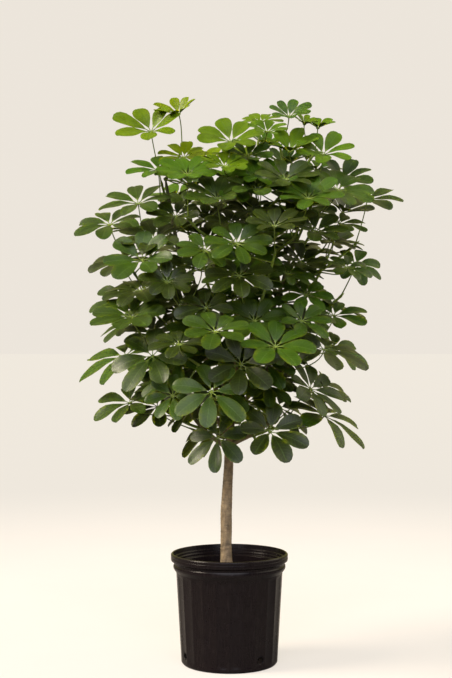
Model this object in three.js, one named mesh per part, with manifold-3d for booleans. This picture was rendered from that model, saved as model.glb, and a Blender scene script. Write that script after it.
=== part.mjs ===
// A schefflera grown as a small tree on one bare trunk, in a fluted black nursery pot.
// Millimetres, +Z up. The origin is the middle of the pot's foot, and the viewer stands on the -Y side.
// The pot and the potting mix are turned profiles. The trunk and its limbs are one body of wood.
// Each leafy stem is one body: a green stem, its leaf stalks, and at the end of each stalk a hub
// with leaflets round it, like the ribs of an umbrella.
import * as THREE from "three";
import { mergeVertices } from "three/addons/utils/BufferGeometryUtils.js";
import Module from "manifold-3d";

const wasm = await Module();
wasm.setup();

const TAU = 2 * Math.PI;
const UP = new THREE.Vector3(0, 0, 1);
const GAP = 0.3; // between pieces that touch

// The pot: a ten inch grower's pot, with the outer radii from the lip down
const POT = {
  height: 241,
  lip: 128.5,
  neck: 121.7,
  bead: 123.3,
  bodyTop: 116.8,
  bodyFoot: 106.3,
  foot: 102,
  wall: 1.8,
  floor: 3,
  flutes: 24,
  fluteDepth: 1.7,
};
const DRAIN = { angles: [-65, 39, 115, 219], width: 17, height: 15, level: 23 };
const SOIL = { level: 198, unevenness: 2.5, facets: 24 };

// The trunk's middle line, and its radius at each point
const TRUNK = [
  [-7, 0, 110, 13.4],
  [-7, 0, 205, 13.2],
  [-7, 0, 245, 12.8],
  [-6, 0, 355, 12],
  [-3, 0, 405, 11.2],
  [-1, 0, 456, 9.9],
  [4, -2, 540, 9],
  [12, 3, 640, 7.6],
  [15, 6, 740, 6],
];
const TRUNK_SIDES = 8;
const BURIED = 118; // the height below which nothing needs to pass the trunk

// Each limb: the height at which it leaves the trunk, and where it ends
const LIMBS = [
  { from: 520, end: [-140, -15, 1060] },
  { from: 495, end: [-125, 0, 750] },
  { from: 470, end: [-95, 10, 560] },
  { from: 735, end: [45, -10, 1040] },
  { from: 650, end: [-40, -60, 925] },
  { from: 600, end: [150, -15, 955] },
  { from: 545, end: [135, -25, 755] },
  { from: 480, end: [105, -20, 545] },
  { from: 505, end: [-20, -110, 655] },
  { from: 570, end: [60, -115, 770] },
  { from: 560, end: [15, 120, 790] },
  { from: 610, end: [-85, 110, 860] },
  { from: 630, end: [105, 105, 905] },
];
const LIMB = { radius: 5.6, endRadius: 3.6, sides: 4, steps: 3, bendOut: 0.6, bendUp: 0.35 };
const PLACES = { steps: 9, first: 3, climb: 25 }; // along each limb, where a leafy stem may spring

// The leafy stems that show from the front. Each leaf that shows has its hub (across, back, up), the
// length of its leaflets, and where it is plain to see, the way it faces and its leaflets' rise in
// degrees. The leading leaf is first. More leaves stand on the stem below them.
const FRONT_STEMS = [
  { leaves: [[-172, -10, 1165, 96, -0.1, -0.65, 0.76, 30]], more: 0 },
  { leaves: [[-112, 20, 1209, 64, -0.25, -0.5, 0.83, 36]], more: 0 },
  { leaves: [[-155, -30, 1077, 76, -0.1, -0.5, 0.86, 24]], more: 0 },
  { leaves: [[-89, -120, 1057, 80, 0, -0.5, 0.86, 28]], more: 1 },
  { leaves: [[-198, -40, 1004, 90, -0.1, -0.5, 0.86, 22], [-115, -60, 975, 66]], more: 1 },
  {
    leaves: [
      [-263, 0, 962, 84, -0.15, -0.5, 0.85, 18],
      [-160, -70, 925, 86, -0.1, -0.5, 0.86, 24],
    ],
    more: 1,
  },
  { leaves: [[-239, 30, 884, 80, -0.2, -0.4, 0.89, 14]], more: 1 },
  { leaves: [[-193, -60, 814, 92, -0.2, -0.35, 0.91, 18]], more: 1 },
  { leaves: [[-129, -170, 829, 64, 0.1, -0.72, 0.69, 22]], more: 1 },
  { leaves: [[-207, -120, 757, 94, -0.15, -0.5, 0.85, 24]], more: 1 },
  { leaves: [[-231, 20, 673, 108, -0.35, -0.4, 0.85, 12]], more: 1 },
  { leaves: [[-103, -210, 699, 66, 0, -0.5, 0.86, 20]], more: 1 },
  { leaves: [[-217, -20, 571, 86, -0.3, -0.45, 0.84, 18]], more: 0 },
  { leaves: [[-159, 30, 560, 80, -0.1, -0.55, 0.83, 16]], more: 0 },
  { leaves: [[3, -60, 1135, 86, 0, -0.6, 0.8, 28]], more: 0 },
  { leaves: [[70, 10, 1190, 54, 0, -0.4, 0.92, 20]], more: 2 },
  { leaves: [[130, -20, 1196, 62, 0, -0.6, 0.8, 34]], more: 2 },
  { leaves: [[198, 50, 1183, 46], [166, 20, 1187, 36]], more: 1 },
  { leaves: [[202, -60, 1107, 84, 0.05, -0.6, 0.8, 30], [130, -45, 1115, 82]], more: 2 },
  { leaves: [[244, -40, 1054, 80, 0.05, -0.55, 0.83, 30]], more: 2 },
  { leaves: [[303, 0, 1017, 84, 0.1, -0.45, 0.88, 22]], more: 1 },
  { leaves: [[162, -180, 1000, 82, 0, -0.6, 0.8, 28], [180, -140, 935, 76]], more: 0 },
  { leaves: [[91, -220, 939, 74, 0, -0.5, 0.86, 30], [15, -205, 905, 80]], more: 0 },
  {
    leaves: [
      [239, -50, 960, 66, 0.3, -0.35, 0.88, 22],
      [222, 10, 925, 56, 0.3, -0.35, 0.88, 20],
    ],
    more: 1,
  },
  { leaves: [[281, 30, 876, 66, 0.2, -0.7, 0.68, 14]], more: 1 },
  { leaves: [[162, -80, 805, 66, 0.1, -0.6, 0.79, 18]], more: 1 },
  { leaves: [[231, 10, 762, 78, 0.15, -0.5, 0.85, 20]], more: 2 },
  { leaves: [[201, -100, 688, 96, 0.2, -0.4, 0.89, 14]], more: 1 },
  { leaves: [[92, -230, 695, 92, 0.05, -0.6, 0.8, 24]], more: 1 },
  { leaves: [[-29, -240, 725, 80, 0, -0.55, 0.83, 24]], more: 1 },
  { leaves: [[-37, -220, 603, 86, 0.05, -0.85, 0.52, 14]], more: 1 },
  { leaves: [[207, -20, 543, 104, 0.45, -0.3, 0.84, 10], [176, -40, 602, 80]], more: 0 },
  { leaves: [[85, -130, 516, 84, 0.2, -0.72, 0.66, 22]], more: 1 },
  { leaves: [[-38, 92, 508, 84]], more: 1 },
  { leaves: [[-50, -200, 891, 70, 0.1, -0.6, 0.79, 20]], more: 1 },
  { leaves: [[-26, -150, 1003, 84]], more: 2 },
  { leaves: [[116, -140, 1044, 84], [58, -140, 1023, 80]], more: 0 },
  { leaves: [[20, -190, 840, 82, 0, -0.65, 0.76, 18]], more: 1 },
  { leaves: [[-115, -60, 635, 84]], more: 1 },
  { leaves: [[-25, -80, 500, 74, -0.3, -0.85, 0.5, 12]], more: 1 },
];

// The stems at the back, which climb round it by the golden angle
const BACK_STEMS = {
  count: 14,
  lowest: 560,
  highest: 1140,
  firstTurn: 141,
  halfSpread: 85,
  leaflet: 86,
  sizeSpread: 12,
  more: 2,
};
const GOLDEN_TURN = 137.508;

// How leaves stand on a stem
const STALK_SHARE = 1.2; // a leaf stalk's length, as a share of its leaflets'
const STALK_MOST = 0.7; // the same, as a share of the hub's distance from the crown's axis
const INTERNODE = 17; // along the stem, from one leaf to the next
const SPREAD = THREE.MathUtils.degToRad(62); // between the stem and the later leaves' stalks
const STEM = { radius: 3.4, endRadius: 2.6, steps: 2, sink: 0.1 };
const STALK = { radius: 1.7, sides: 3, steps: 2, sink: 0.05, reach: 0.45 };

// Stems and stalks bend aside by a share of their length to pass each other
const BEND = { samples: 30, aside: [0.12, 0.24, 0.36], ways: 6, room: 2.6 };
const WOOD_SAMPLES = { trunk: { steps: 79, radius: 9 }, limb: { steps: 60, radius: 5.4 } };

// The crown: what the leaf stalks run away from, and how far out the leaves reach
const FOCUS = { across: 5, back: 0, low: 480, climb: 0.35, sideways: 0.65, sway: 0.45 };
const LIGHT = { atFoot: 0.15, added: 0.1 }; // how much stalks turn to the front, up the crown
const FOLIAGE = { foot: 520, height: 600 }; // of the lowest hubs, and from there to the highest
const CROWN = {
  across: 18,
  lean: 0.08,
  middle: 850,
  halfHeight: 400,
  hubsWithin: 0.74, // of the half height
  halfWidth: 245,
  halfDepth: 230,
};
const SHYNESS = { distance: 100, woodDistance: 34, rounds: 14, share: 0.45 };

// A leaf as a whole: how much it turns up and to the front from its stalk's way, its pull down and
// outwards, its leaflets' rise in degrees, and how many there are
const LEAF = {
  turnUp: 0.6,
  turnToFront: 0.5,
  hang: 0.8,
  rise: 14,
  riseGained: 18,
  riseSpread: 14,
  fewest: 7,
  eighths: 1.6,
  turnSpread: 0.5,
  sizeSpread: 0.16,
};

// A leaf's hub and leaflets, with lengths as shares of the leaflet's
const HUB = { radius: 6, rise: 1.4, drop: 1.8 };
const LEAFLET = {
  kept: { shown: 6, others: 5 }, // the longest of a leaf's seven or eight
  widest: 0.63,
  half: 0.2,
  thickness: 1.5,
  fold: 0.16,
  tipHalf: 0.12,
  least: 0.86, // the shortest leaflet, beside the stalk
  sizeSpread: 0.16,
  turnSpread: 0.16,
  sag: 0.38,
  sagLost: 0.006, // for each degree that the leaflets rise
  sagAcross: 0.55, // how much of the sag is away from the leaf's face, and the rest is down
};
const CLEARANCE = 0.5; // kept between leaflets of different leaves

// What each draw decides. A leaflet's own number is added to the last two.
const TRAIT = {
  swayAcross: 1,
  swayBack: 2,
  swayUp: 3,
  firstTurn: 4,
  size: 5,
  rise: 6,
  count: 7,
  offset: 8,
  backSize: 9,
  leafletTurn: 20,
  leafletLength: 40,
};

// Vectors and draws

const vec = (x, y, z) => new THREE.Vector3(x, y, z);
const mix = (a, b, t) => a.clone().lerp(b, t);
const { degToRad, lerp, clamp } = THREE.MathUtils;
const counted = (count, make) => Array.from({ length: count }, (_, i) => make(i));

// A number from 0 to 1 that depends on nothing but its two whole numbers.
function draw(item, trait) {
  const wave = Math.sin(item * 127.1 + trait * 311.7 + 74.7) * 43758.5453;
  return wave - Math.floor(wave);
}

// The same, from half a spread below zero to half a spread above it.
const drawAround = (spread, item, trait) => spread * (draw(item, trait) - 0.5);

// Two directions square to a third and to each other.
function squareTo(along) {
  const side = along.clone().cross(vec(0.3, 0.9, 0.3)).normalize();
  return [side, along.clone().cross(side)];
}

// Geometry to solid and back

function toSolid(geometry) {
  const bare = geometry.clone();
  bare.deleteAttribute("normal");
  bare.deleteAttribute("uv");
  const merged = mergeVertices(bare, 1e-4);
  return new wasm.Manifold(
    new wasm.Mesh({
      numProp: 3,
      vertProperties: new Float32Array(merged.attributes.position.array),
      triVerts: new Uint32Array(merged.index.array),
    }),
  );
}

function toGeometry(solid) {
  const { numProp, numVert, vertProperties, triVerts } = solid.getMesh();
  const position = new Float32Array(numVert * 3);
  for (let i = 0; i < numVert; i++) {
    position.set(vertProperties.subarray(i * numProp, i * numProp + 3), i * 3);
  }
  const indexed = new THREE.BufferGeometry();
  indexed.setAttribute("position", new THREE.BufferAttribute(position, 3));
  indexed.setIndex(new THREE.BufferAttribute(new Uint32Array(triVerts), 1));
  const flat = indexed.toNonIndexed();
  flat.computeVertexNormals();
  return flat;
}

function solidOfFaces(points, faces) {
  const geometry = new THREE.BufferGeometry().setFromPoints(points);
  geometry.setIndex(faces.flat());
  return toSolid(geometry);
}

const largestBody = (solid) =>
  solid.decompose().reduce((best, body) => (body.volume() > best.volume() ? body : best));

const boxesMeet = (a, b) =>
  [0, 1, 2].every((axis) => a.min[axis] <= b.max[axis] && b.min[axis] <= a.max[axis]);

const meets = (a, b) =>
  boxesMeet(a.boundingBox(), b.boundingBox()) && a.intersect(b).volume() > 0;

// Tubes

// The directions across a curve at each of its points, turned as little as possible from one to the next.
function framesAlong(points, firstAcross) {
  let across = firstAcross;
  return points.map((point, i) => {
    const ahead = points[Math.min(i + 1, points.length - 1)];
    const behind = points[Math.max(i - 1, 0)];
    const along = ahead.clone().sub(behind).normalize();
    across = across.clone().addScaledVector(along, -across.dot(along)).normalize();
    return { point, along, across, aside: along.clone().cross(across) };
  });
}

const ringAround = ({ point, across, aside }, radius, sides) =>
  counted(sides, (k) =>
    point
      .clone()
      .addScaledVector(across, radius * Math.cos((TAU * k) / sides))
      .addScaledVector(aside, radius * Math.sin((TAU * k) / sides)),
  );

// The faces of a tube's side. Its rings of points follow each other from a first number on.
function tubeFaces(first, rings, sides) {
  const faces = [];
  for (let i = 0; i + 1 < rings; i++) {
    for (let k = 0; k < sides; k++) {
      const [a, b] = [first + i * sides + k, first + i * sides + ((k + 1) % sides)];
      faces.push([a, b, b + sides], [a, b + sides, a + sides]);
    }
  }
  return faces;
}

// A closed tube through the points, with a radius at each, swollen by grown all over.
function taperedTube(points, radii, sides, grown = 0) {
  const start = points[1].clone().sub(points[0]).normalize();
  const frames = framesAlong(points, Math.abs(start.z) < 0.9 ? UP : vec(1, 0, 0));
  const last = frames.length - 1;
  frames[0].point = points[0].clone().addScaledVector(frames[0].along, -grown);
  frames[last].point = points[last].clone().addScaledVector(frames[last].along, grown);
  const rings = frames.flatMap((frame, i) => ringAround(frame, radii[i] + grown, sides));
  const faces = tubeFaces(0, points.length, sides);
  const end = last * sides;
  for (let k = 1; k + 1 < sides; k++) {
    faces.push([0, k + 1, k], [end, end + k, end + k + 1]);
  }
  return solidOfFaces(rings, faces);
}

function tubeAlong(curve, { steps, radius, endRadius = radius, sides }, grown = 0) {
  const radii = counted(steps + 1, (i) => lerp(radius, endRadius, i / steps));
  return taperedTube(curve.getPoints(steps), radii, sides, grown);
}

// The pot and the potting mix

function turned(profile, facets) {
  const points = profile.map(([radius, height]) => new THREE.Vector2(radius, height));
  return new THREE.LatheGeometry(points, facets).rotateX(TAU / 4);
}

// The pot's radius inside its wall, where the flutes leave it thinnest
const insideOf = (radius) => radius - POT.wall - POT.fluteDepth;

// The pot, whose body is drawn in at every second facet. Its drain holes are low in the side.
function potSolid() {
  const profile = [
    [0, 0],
    [POT.foot, 0],
    [POT.bodyFoot - 0.8, 5],
    [POT.bodyFoot, 13, true],
    [POT.bodyTop, 199, true],
    [POT.bead, 208],
    [POT.bead, 214],
    [POT.neck, 219],
    [POT.lip, 226],
    [POT.lip, 239],
    [POT.lip - 2, POT.height],
    [POT.lip - 5, POT.height],
    [POT.lip - 7, 228],
    [insideOf(POT.bodyTop) + 0.6, 215],
    [insideOf(POT.bodyFoot), 14],
    [insideOf(POT.foot), POT.floor],
    [0, POT.floor],
  ];
  const wall = turned(profile, POT.flutes * 2);
  const position = wall.attributes.position;
  for (let i = 0; i < position.count; i++) {
    const [radius, , fluted] = profile[i % profile.length];
    const facet = Math.floor(i / profile.length);
    if (!fluted || facet % 2 === 0) continue;
    const share = 1 - POT.fluteDepth / radius;
    position.setX(i, position.getX(i) * share);
    position.setY(i, position.getY(i) * share);
  }
  const holes = DRAIN.angles.map((angle) => {
    const hole = new THREE.CylinderGeometry(DRAIN.width / 2, DRAIN.width / 2, 24, 8);
    hole.scale(1, 1, DRAIN.height / DRAIN.width);
    hole.translate(0, -POT.bodyFoot, DRAIN.level);
    hole.rotateZ(degToRad(angle));
    return toSolid(hole);
  });
  return toSolid(wall).subtract(wasm.Manifold.union(holes));
}

// The mix fills the pot to below the bead, a little uneven, with a plain hole for the trunk.
function soilSolid(trunkRoom) {
  const profile = [
    [0, POT.floor + GAP],
    [insideOf(POT.foot) - 2 * GAP, POT.floor + GAP],
    [insideOf(POT.bodyFoot) - 2 * GAP, 14 + GAP],
    [insideOf(POT.bodyTop) - 3 * GAP, SOIL.level - 4],
    [70, SOIL.level],
    [0, SOIL.level + 2],
  ];
  const heap = turned(profile, SOIL.facets);
  const position = heap.attributes.position;
  for (let i = 0; i < position.count; i++) {
    const [x, y, z] = [position.getX(i), position.getY(i), position.getZ(i)];
    if (z < SOIL.level - 1) continue;
    position.setZ(i, z + SOIL.unevenness * (Math.sin(x / 17) + Math.cos(y / 13 + 1)));
  }
  return toSolid(heap).subtract(trunkRoom);
}

// The wood: the trunk and its limbs

const trunkPoints = TRUNK.map(([x, y, z]) => vec(x, y, z));
const trunkRadii = TRUNK.map((row) => row[3]);
const trunkTube = (grown) => taperedTube(trunkPoints, trunkRadii, TRUNK_SIDES, grown);

// The trunk's middle at a height.
function trunkAt(height) {
  const above = trunkPoints.findIndex((point) => point.z >= height);
  const [low, high] = [trunkPoints[above - 1], trunkPoints[above]];
  return mix(low, high, (height - low.z) / (high.z - low.z));
}

// A limb leaves the trunk low and outwards, and turns up towards its end.
const limbCurves = LIMBS.map(({ from, end }) => {
  const start = trunkAt(from);
  const way = vec(...end).sub(start);
  const { bendOut, bendUp } = LIMB;
  const bend = start.clone().add(vec(bendOut * way.x, bendOut * way.y, bendUp * way.z));
  return new THREE.QuadraticBezierCurve3(start, bend, vec(...end));
});

const woodSolid = (grown) =>
  wasm.Manifold.union([trunkTube(grown), ...limbCurves.map((curve) => tubeAlong(curve, LIMB, grown))]);

// The places along the limbs where a leafy stem may spring
const limbPlaces = limbCurves.flatMap((curve, limb) =>
  curve
    .getPoints(PLACES.steps)
    .slice(PLACES.first)
    .map((point) => ({ point, limb, taken: false })),
);

// Room for stems and stalks. What is placed is kept as points along it, each with its radius and owner.

const taken = [];
const take = (points, radius, owner) =>
  points.forEach((point) => taken.push({ point, reach: radius + BEND.room, owner }));

// How far a curve's points stay clear of everything that isn't their owner's or its support's.
function clearance(points, radius, owners) {
  let least = Infinity;
  for (const { point, reach, owner } of taken) {
    if (owners.includes(owner)) continue;
    for (const each of points) {
      least = Math.min(least, each.distanceTo(point) - reach - radius);
    }
  }
  return least;
}

// Of a curve's possible bends, the first that is clear, or else the one that is nearly so.
function clearCurve(makeCurve, from, to, radius, owners) {
  const way = to.clone().sub(from);
  const [side, other] = squareTo(way.clone().normalize());
  const offsets = [vec(0, 0, 0)];
  for (const share of BEND.aside) {
    for (let k = 0; k < BEND.ways; k++) {
      const turn = (TAU * k) / BEND.ways;
      const offset = side.clone().multiplyScalar(share * way.length() * Math.cos(turn));
      offsets.push(offset.addScaledVector(other, share * way.length() * Math.sin(turn)));
    }
  }
  let best = null;
  for (const offset of offsets) {
    const curve = makeCurve(offset);
    const points = curve.getPoints(BEND.samples);
    const clear = clearance(points, radius, owners);
    if (!best || clear > best.clear) best = { curve, points, clear };
    if (clear > 0) break;
  }
  return best;
}

// The crown: where each leaf's hub is, and which way the leaf faces

// How high a leaf is in the crown, from 0 to 1.
const heightShare = (hub) => clamp((hub.z - FOLIAGE.foot) / FOLIAGE.height, 0, 1);

// A leaf stalk runs away from a point on the crown's axis below the leaf, a little to the front.
function stalkWay({ hub, item }) {
  const focus = vec(FOCUS.across, FOCUS.back, FOCUS.low + FOCUS.climb * (hub.z - FOCUS.low));
  const traits = [TRAIT.swayAcross, TRAIT.swayBack, TRAIT.swayUp];
  const sway = vec(...traits.map((trait) => drawAround(FOCUS.sway, item, trait)));
  const way = hub.clone().sub(focus).multiply(vec(FOCUS.sideways, 1, 1)).normalize();
  const toLight = LIGHT.atFoot + LIGHT.added * heightShare(hub);
  return way.add(sway).add(vec(0, -toLight, 0)).normalize();
}

// A leaf faces more up and to the front than its stalk's way, unless the way it faces is given.
function facing(leaf) {
  if (leaf.toward?.length) return vec(...leaf.toward.slice(0, 3)).normalize();
  return stalkWay(leaf).add(vec(0, -LEAF.turnToFront, LEAF.turnUp)).normalize();
}

// The crown's narrowing at a height, from 1 at its middle.
const crownShare = (height) =>
  Math.sqrt(1 - Math.min(0.98, Math.abs(height - CROWN.middle) / CROWN.halfHeight) ** 3);

const crownMiddle = (height) => CROWN.across + CROWN.lean * (height - CROWN.middle);

// Hubs past the crown's outline come back to it.
function keepInCrown(hub) {
  const share = crownShare(hub.z);
  const middle = crownMiddle(hub.z);
  const x = (hub.x - middle) / (CROWN.halfWidth * share);
  const y = hub.y / (CROWN.halfDepth * share);
  const reach = Math.hypot(x, y);
  if (reach > 1) hub.set(middle + (hub.x - middle) / reach, hub.y / reach, hub.z);
  const most = CROWN.hubsWithin * CROWN.halfHeight;
  hub.z = clamp(hub.z, CROWN.middle - most, CROWN.middle + most);
}

function backStemRows() {
  const { count, lowest, highest, firstTurn, halfSpread, leaflet, sizeSpread, more } = BACK_STEMS;
  return counted(count, (i) => {
    const height = lerp(lowest, highest, (i + 0.5) / count);
    const turn = degToRad(((i * GOLDEN_TURN + firstTurn) % (2 * halfSpread)) - halfSpread);
    const across = crownMiddle(height) + CROWN.halfWidth * crownShare(height) * Math.sin(turn);
    const back = CROWN.halfDepth * crownShare(height) * Math.cos(turn);
    return { leaves: [[across, back, height, leaflet - sizeSpread * draw(i, TRAIT.backSize)]], more };
  });
}

// Where a stem springs: the free place on a limb that it climbs from most directly.
function nearestPlace(tip) {
  const cost = ({ point, taken: used }) =>
    used ? Infinity : point.distanceTo(tip) + 2 * Math.max(0, point.z + PLACES.climb - tip.z);
  const place = limbPlaces.reduce((best, each) => (cost(each) < cost(best) ? each : best));
  place.taken = true;
  return place;
}

// A leafy stem: its curve from limb to tip, and its leaves from the tip down.
function growStem({ leaves: shown, more }, index) {
  const owner = `stem ${index}`;
  const leaves = shown.map(([x, y, z, size, ...toward], k) => {
    return { item: 10 * index + k, owner, size, fixed: true, hub: vec(x, y, z), toward };
  });
  const { item, hub, size } = leaves[0];
  const outFrom = vec(FOCUS.across, FOCUS.back, hub.z);
  const stalk = Math.min(STALK_SHARE * size, STALK_MOST * hub.distanceTo(outFrom));
  const tip = hub.clone().addScaledVector(stalkWay(leaves[0]), -stalk);
  const place = nearestPlace(tip);
  const root = place.point;
  const middle = mix(root, tip, 0.5).addScaledVector(UP, -STEM.sink * root.distanceTo(tip));
  const bend = (offset) => new THREE.QuadraticBezierCurve3(root, middle.clone().add(offset), tip);
  const { curve, points } = clearCurve(bend, root, tip, STEM.radius, [owner, `limb ${place.limb}`]);
  take(points, STEM.radius, owner);
  const along = curve.getTangent(1);
  const [side, other] = squareTo(along);
  const nodeOf = (k) => curve.getPoint(1 - Math.min(0.9, (INTERNODE * k) / root.distanceTo(tip)));
  leaves.forEach((leaf, k) => {
    leaf.node = nodeOf(k);
  });
  leaves[0].stem = curve;
  for (let k = leaves.length; k < shown.length + more; k++) {
    const turn = degToRad(GOLDEN_TURN * k + 360 * draw(item, TRAIT.firstTurn));
    const length = size * (1 + drawAround(LEAF.sizeSpread, item + k, TRAIT.size));
    const way = along.clone().multiplyScalar(Math.cos(SPREAD));
    way.addScaledVector(side, Math.sin(SPREAD) * Math.cos(turn));
    way.addScaledVector(other, Math.sin(SPREAD) * Math.sin(turn));
    const start = nodeOf(k).addScaledVector(way, STALK_SHARE * length);
    leaves.push({ item: item + k, owner, size: length, fixed: false, node: nodeOf(k), hub: start });
  }
  return leaves;
}

// Later leaves move apart and off the wood until each has light, and the leading ones stay.
function spreadLeaves(leaves) {
  const push = (hub, from, distance, share) => {
    const apart = hub.clone().sub(from);
    const short = Math.max(0, distance - apart.length());
    return apart.normalize().multiplyScalar(share * short);
  };
  for (let round = 0; round < SHYNESS.rounds; round++) {
    const moves = leaves.map(({ hub }) => {
      const move = vec(0, 0, 0);
      for (const other of leaves) {
        if (other.hub !== hub) move.add(push(hub, other.hub, SHYNESS.distance, SHYNESS.share));
      }
      const distanceTo = ({ point }) => point.distanceTo(hub);
      const nearest = taken.reduce((best, each) => (distanceTo(each) < distanceTo(best) ? each : best));
      return move.add(push(hub, nearest.point, SHYNESS.woodDistance, 1));
    });
    leaves.forEach((leaf, i) => {
      if (leaf.fixed) return;
      leaf.hub.add(moves[i]);
      keepInCrown(leaf.hub);
    });
  }
}

// A leaf's own directions: where it faces, and where its largest leaflet points.
function poseLeaf(leaf) {
  const { item, hub } = leaf;
  leaf.normal = facing(leaf);
  const outward = vec(hub.x - FOCUS.across, hub.y - FOCUS.back, 0).normalize();
  const pull = outward.addScaledVector(UP, -LEAF.hang);
  leaf.main = pull.addScaledVector(leaf.normal, -pull.dot(leaf.normal)).normalize();
  leaf.aside = leaf.normal.clone().cross(leaf.main);
  const byRule = LEAF.rise + LEAF.riseGained * heightShare(hub);
  const rise = leaf.toward?.[3] ?? byRule + drawAround(LEAF.riseSpread, item, TRAIT.rise);
  leaf.sag = LEAFLET.sag - LEAFLET.sagLost * rise;
  leaf.rise = degToRad(rise);
  leaf.count = LEAF.fewest + Math.floor(LEAF.eighths * draw(item, TRAIT.count));
  leaf.offset = drawAround(LEAF.turnSpread, item, TRAIT.offset);
}

// A leaf's stalk springs from its node on the stem and meets the hub square to the leaf.
function growStalk(leaf) {
  const { node, hub, normal, size, owner } = leaf;
  const lower = mix(node, hub, 0.3).addScaledVector(UP, -STALK.sink * size);
  const upper = hub.clone().addScaledVector(normal, -STALK.reach * size);
  const bend = (offset) =>
    new THREE.CubicBezierCurve3(node, lower.clone().add(offset), upper, hub);
  const { curve, points } = clearCurve(bend, node, hub, STALK.radius, [owner]);
  take(points, STALK.radius, owner);
  leaf.curve = curve;
}

// Leaves

const leafletTurn = (leaf, k) =>
  (TAU * (k + leaf.offset + drawAround(LEAFLET.turnSpread, leaf.item, TRAIT.leafletTurn + k))) /
  leaf.count;

// A leaflet's section at a share of its length: its edges, the crease on top, and its underside.
function leafletSection(leaf, k, share, half, lift, depth) {
  const turn = leafletTurn(leaf, k);
  const near = (1 + Math.cos(turn)) / 2;
  const spread = 1 + drawAround(LEAFLET.sizeSpread, leaf.item, TRAIT.leafletLength + k);
  const length = leaf.size * lerp(LEAFLET.least, 1, near) * spread;
  const out = leaf.main.clone().multiplyScalar(Math.cos(turn));
  out.addScaledVector(leaf.aside, Math.sin(turn));
  const { sagAcross } = LEAFLET;
  const sagging = leaf.normal.clone().multiplyScalar(sagAcross).addScaledVector(UP, 1 - sagAcross);
  const middle = (t) =>
    leaf.hub
      .clone()
      .addScaledVector(out, length * t * Math.cos(leaf.rise))
      .addScaledVector(leaf.normal, length * t * Math.sin(leaf.rise))
      .addScaledVector(sagging, -length * leaf.sag * t * t);
  const point = middle(share);
  const along = middle(share + 0.02).sub(middle(share - 0.02)).normalize();
  const left = leaf.normal.clone().cross(along).normalize();
  const above = along.clone().cross(left).normalize();
  const at = (width, height) =>
    point.clone().addScaledVector(left, width).addScaledVector(above, height);
  return {
    left: at(half * length, lift * half * length),
    right: at(-half * length, lift * half * length),
    top: at(0, depth / 2),
    under: at(0, -depth / 2),
  };
}

// What a leaf's hub stands on, from the hub down: its stalk, and under a leading leaf the stem too.
function belowHub(leaf) {
  const { steps, radius, endRadius } = STEM;
  const stalk = leaf.curve.getPoints(STALK.steps).reverse().slice(1);
  const rings = stalk.map((point) => ({ point, radius: STALK.radius }));
  if (!leaf.stem) return rings;
  const stem = leaf.stem.getPoints(steps).reverse();
  const stemRings = stem.map((point, i) => ({ point, radius: lerp(endRadius, radius, i / steps) }));
  return [...rings.slice(0, -1), ...stemRings];
}

// A leaf on what is below its hub, with the leaflets whose numbers are kept, as one closed sheet.
// The rings of points below the hub come first. Round the hub is a ring with one gap for each leaflet,
// and a gap whose leaflet isn't kept is closed by a small face above and below.
function leafSolid(leaf, kept, below, grown = 0) {
  const { count, hub, normal, main, aside, offset, rise } = leaf;
  const first = { point: hub.clone().addScaledVector(normal, -HUB.drop), radius: STALK.radius };
  const line = [first, ...below];
  const frames = framesAlong(
    line.map(({ point }) => point),
    main,
  );
  const rings = frames.map(({ point, across, along }, i) => {
    const ring = { point, across, aside: across.clone().cross(along) };
    return ringAround(ring, line[i].radius + grown, STALK.sides);
  });
  const points = rings.reverse().flat();
  const faces = [[0, 2, 1], ...tubeFaces(0, rings.length, STALK.sides)];
  const seat = (rings.length - 1) * STALK.sides;
  const top = points.push(hub.clone().addScaledVector(normal, HUB.rise)) - 1;
  const ring = top + 1;
  for (let k = 0; k < count; k++) {
    const turn = (TAU * (k - 0.5 + offset)) / count;
    points.push(
      hub
        .clone()
        .addScaledVector(main, HUB.radius * Math.cos(turn))
        .addScaledVector(aside, HUB.radius * Math.sin(turn))
        .addScaledVector(normal, HUB.radius * Math.sin(rise)),
    );
  }
  const seatOf = (k) => Math.round((STALK.sides * k) / count) % STALK.sides;
  const { widest, half, fold, thickness, tipHalf } = LEAFLET;
  for (let k = 0; k < count; k++) {
    const [right, left] = [ring + k, ring + ((k + 1) % count)];
    const under = seat + seatOf(k);
    const next = seat + seatOf((k + 1) % count);
    if (next !== under) faces.push([left, under, next]);
    if (!kept.includes(k)) {
      faces.push([top, right, left], [under, left, right]);
      continue;
    }
    const wide = leafletSection(leaf, k, widest, half, fold, thickness + 2 * grown);
    const tip = leafletSection(leaf, k, 1, tipHalf, 0, 0);
    const [l1, r1, t1, u1, l2, r2] = counted(6, (i) => points.length + i);
    points.push(wide.left, wide.right, wide.top, wide.under, tip.left, tip.right);
    faces.push([top, right, left], [left, right, t1]);
    faces.push([left, t1, l1], [right, r1, t1]);
    faces.push([under, left, u1], [under, u1, right], [left, l1, u1], [right, u1, r1]);
    faces.push([l1, t1, l2], [t1, r2, l2], [t1, r1, r2]);
    faces.push([l1, l2, u1], [u1, l2, r2], [u1, r2, r1]);
  }
  return solidOfFaces(points, faces);
}

// Growing the whole plant. Wood comes first, then the stems, then the leaf stalks.

const { trunk: trunkSamples, limb: limbSamples } = WOOD_SAMPLES;
const trunkTop = trunkPoints.at(-1).z;
const trunkLine = counted(trunkSamples.steps + 1, (i) =>
  trunkAt(lerp(BURIED, trunkTop, i / trunkSamples.steps)),
);
take(trunkLine, trunkSamples.radius, "trunk");
limbCurves.forEach((curve, i) =>
  take(curve.getPoints(limbSamples.steps), limbSamples.radius, `limb ${i}`),
);
const stems = [...FRONT_STEMS, ...backStemRows()].map(growStem);
const leaves = stems.flat();
spreadLeaves(leaves);
leaves.forEach(poseLeaf);
leaves.forEach(growStalk);

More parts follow.
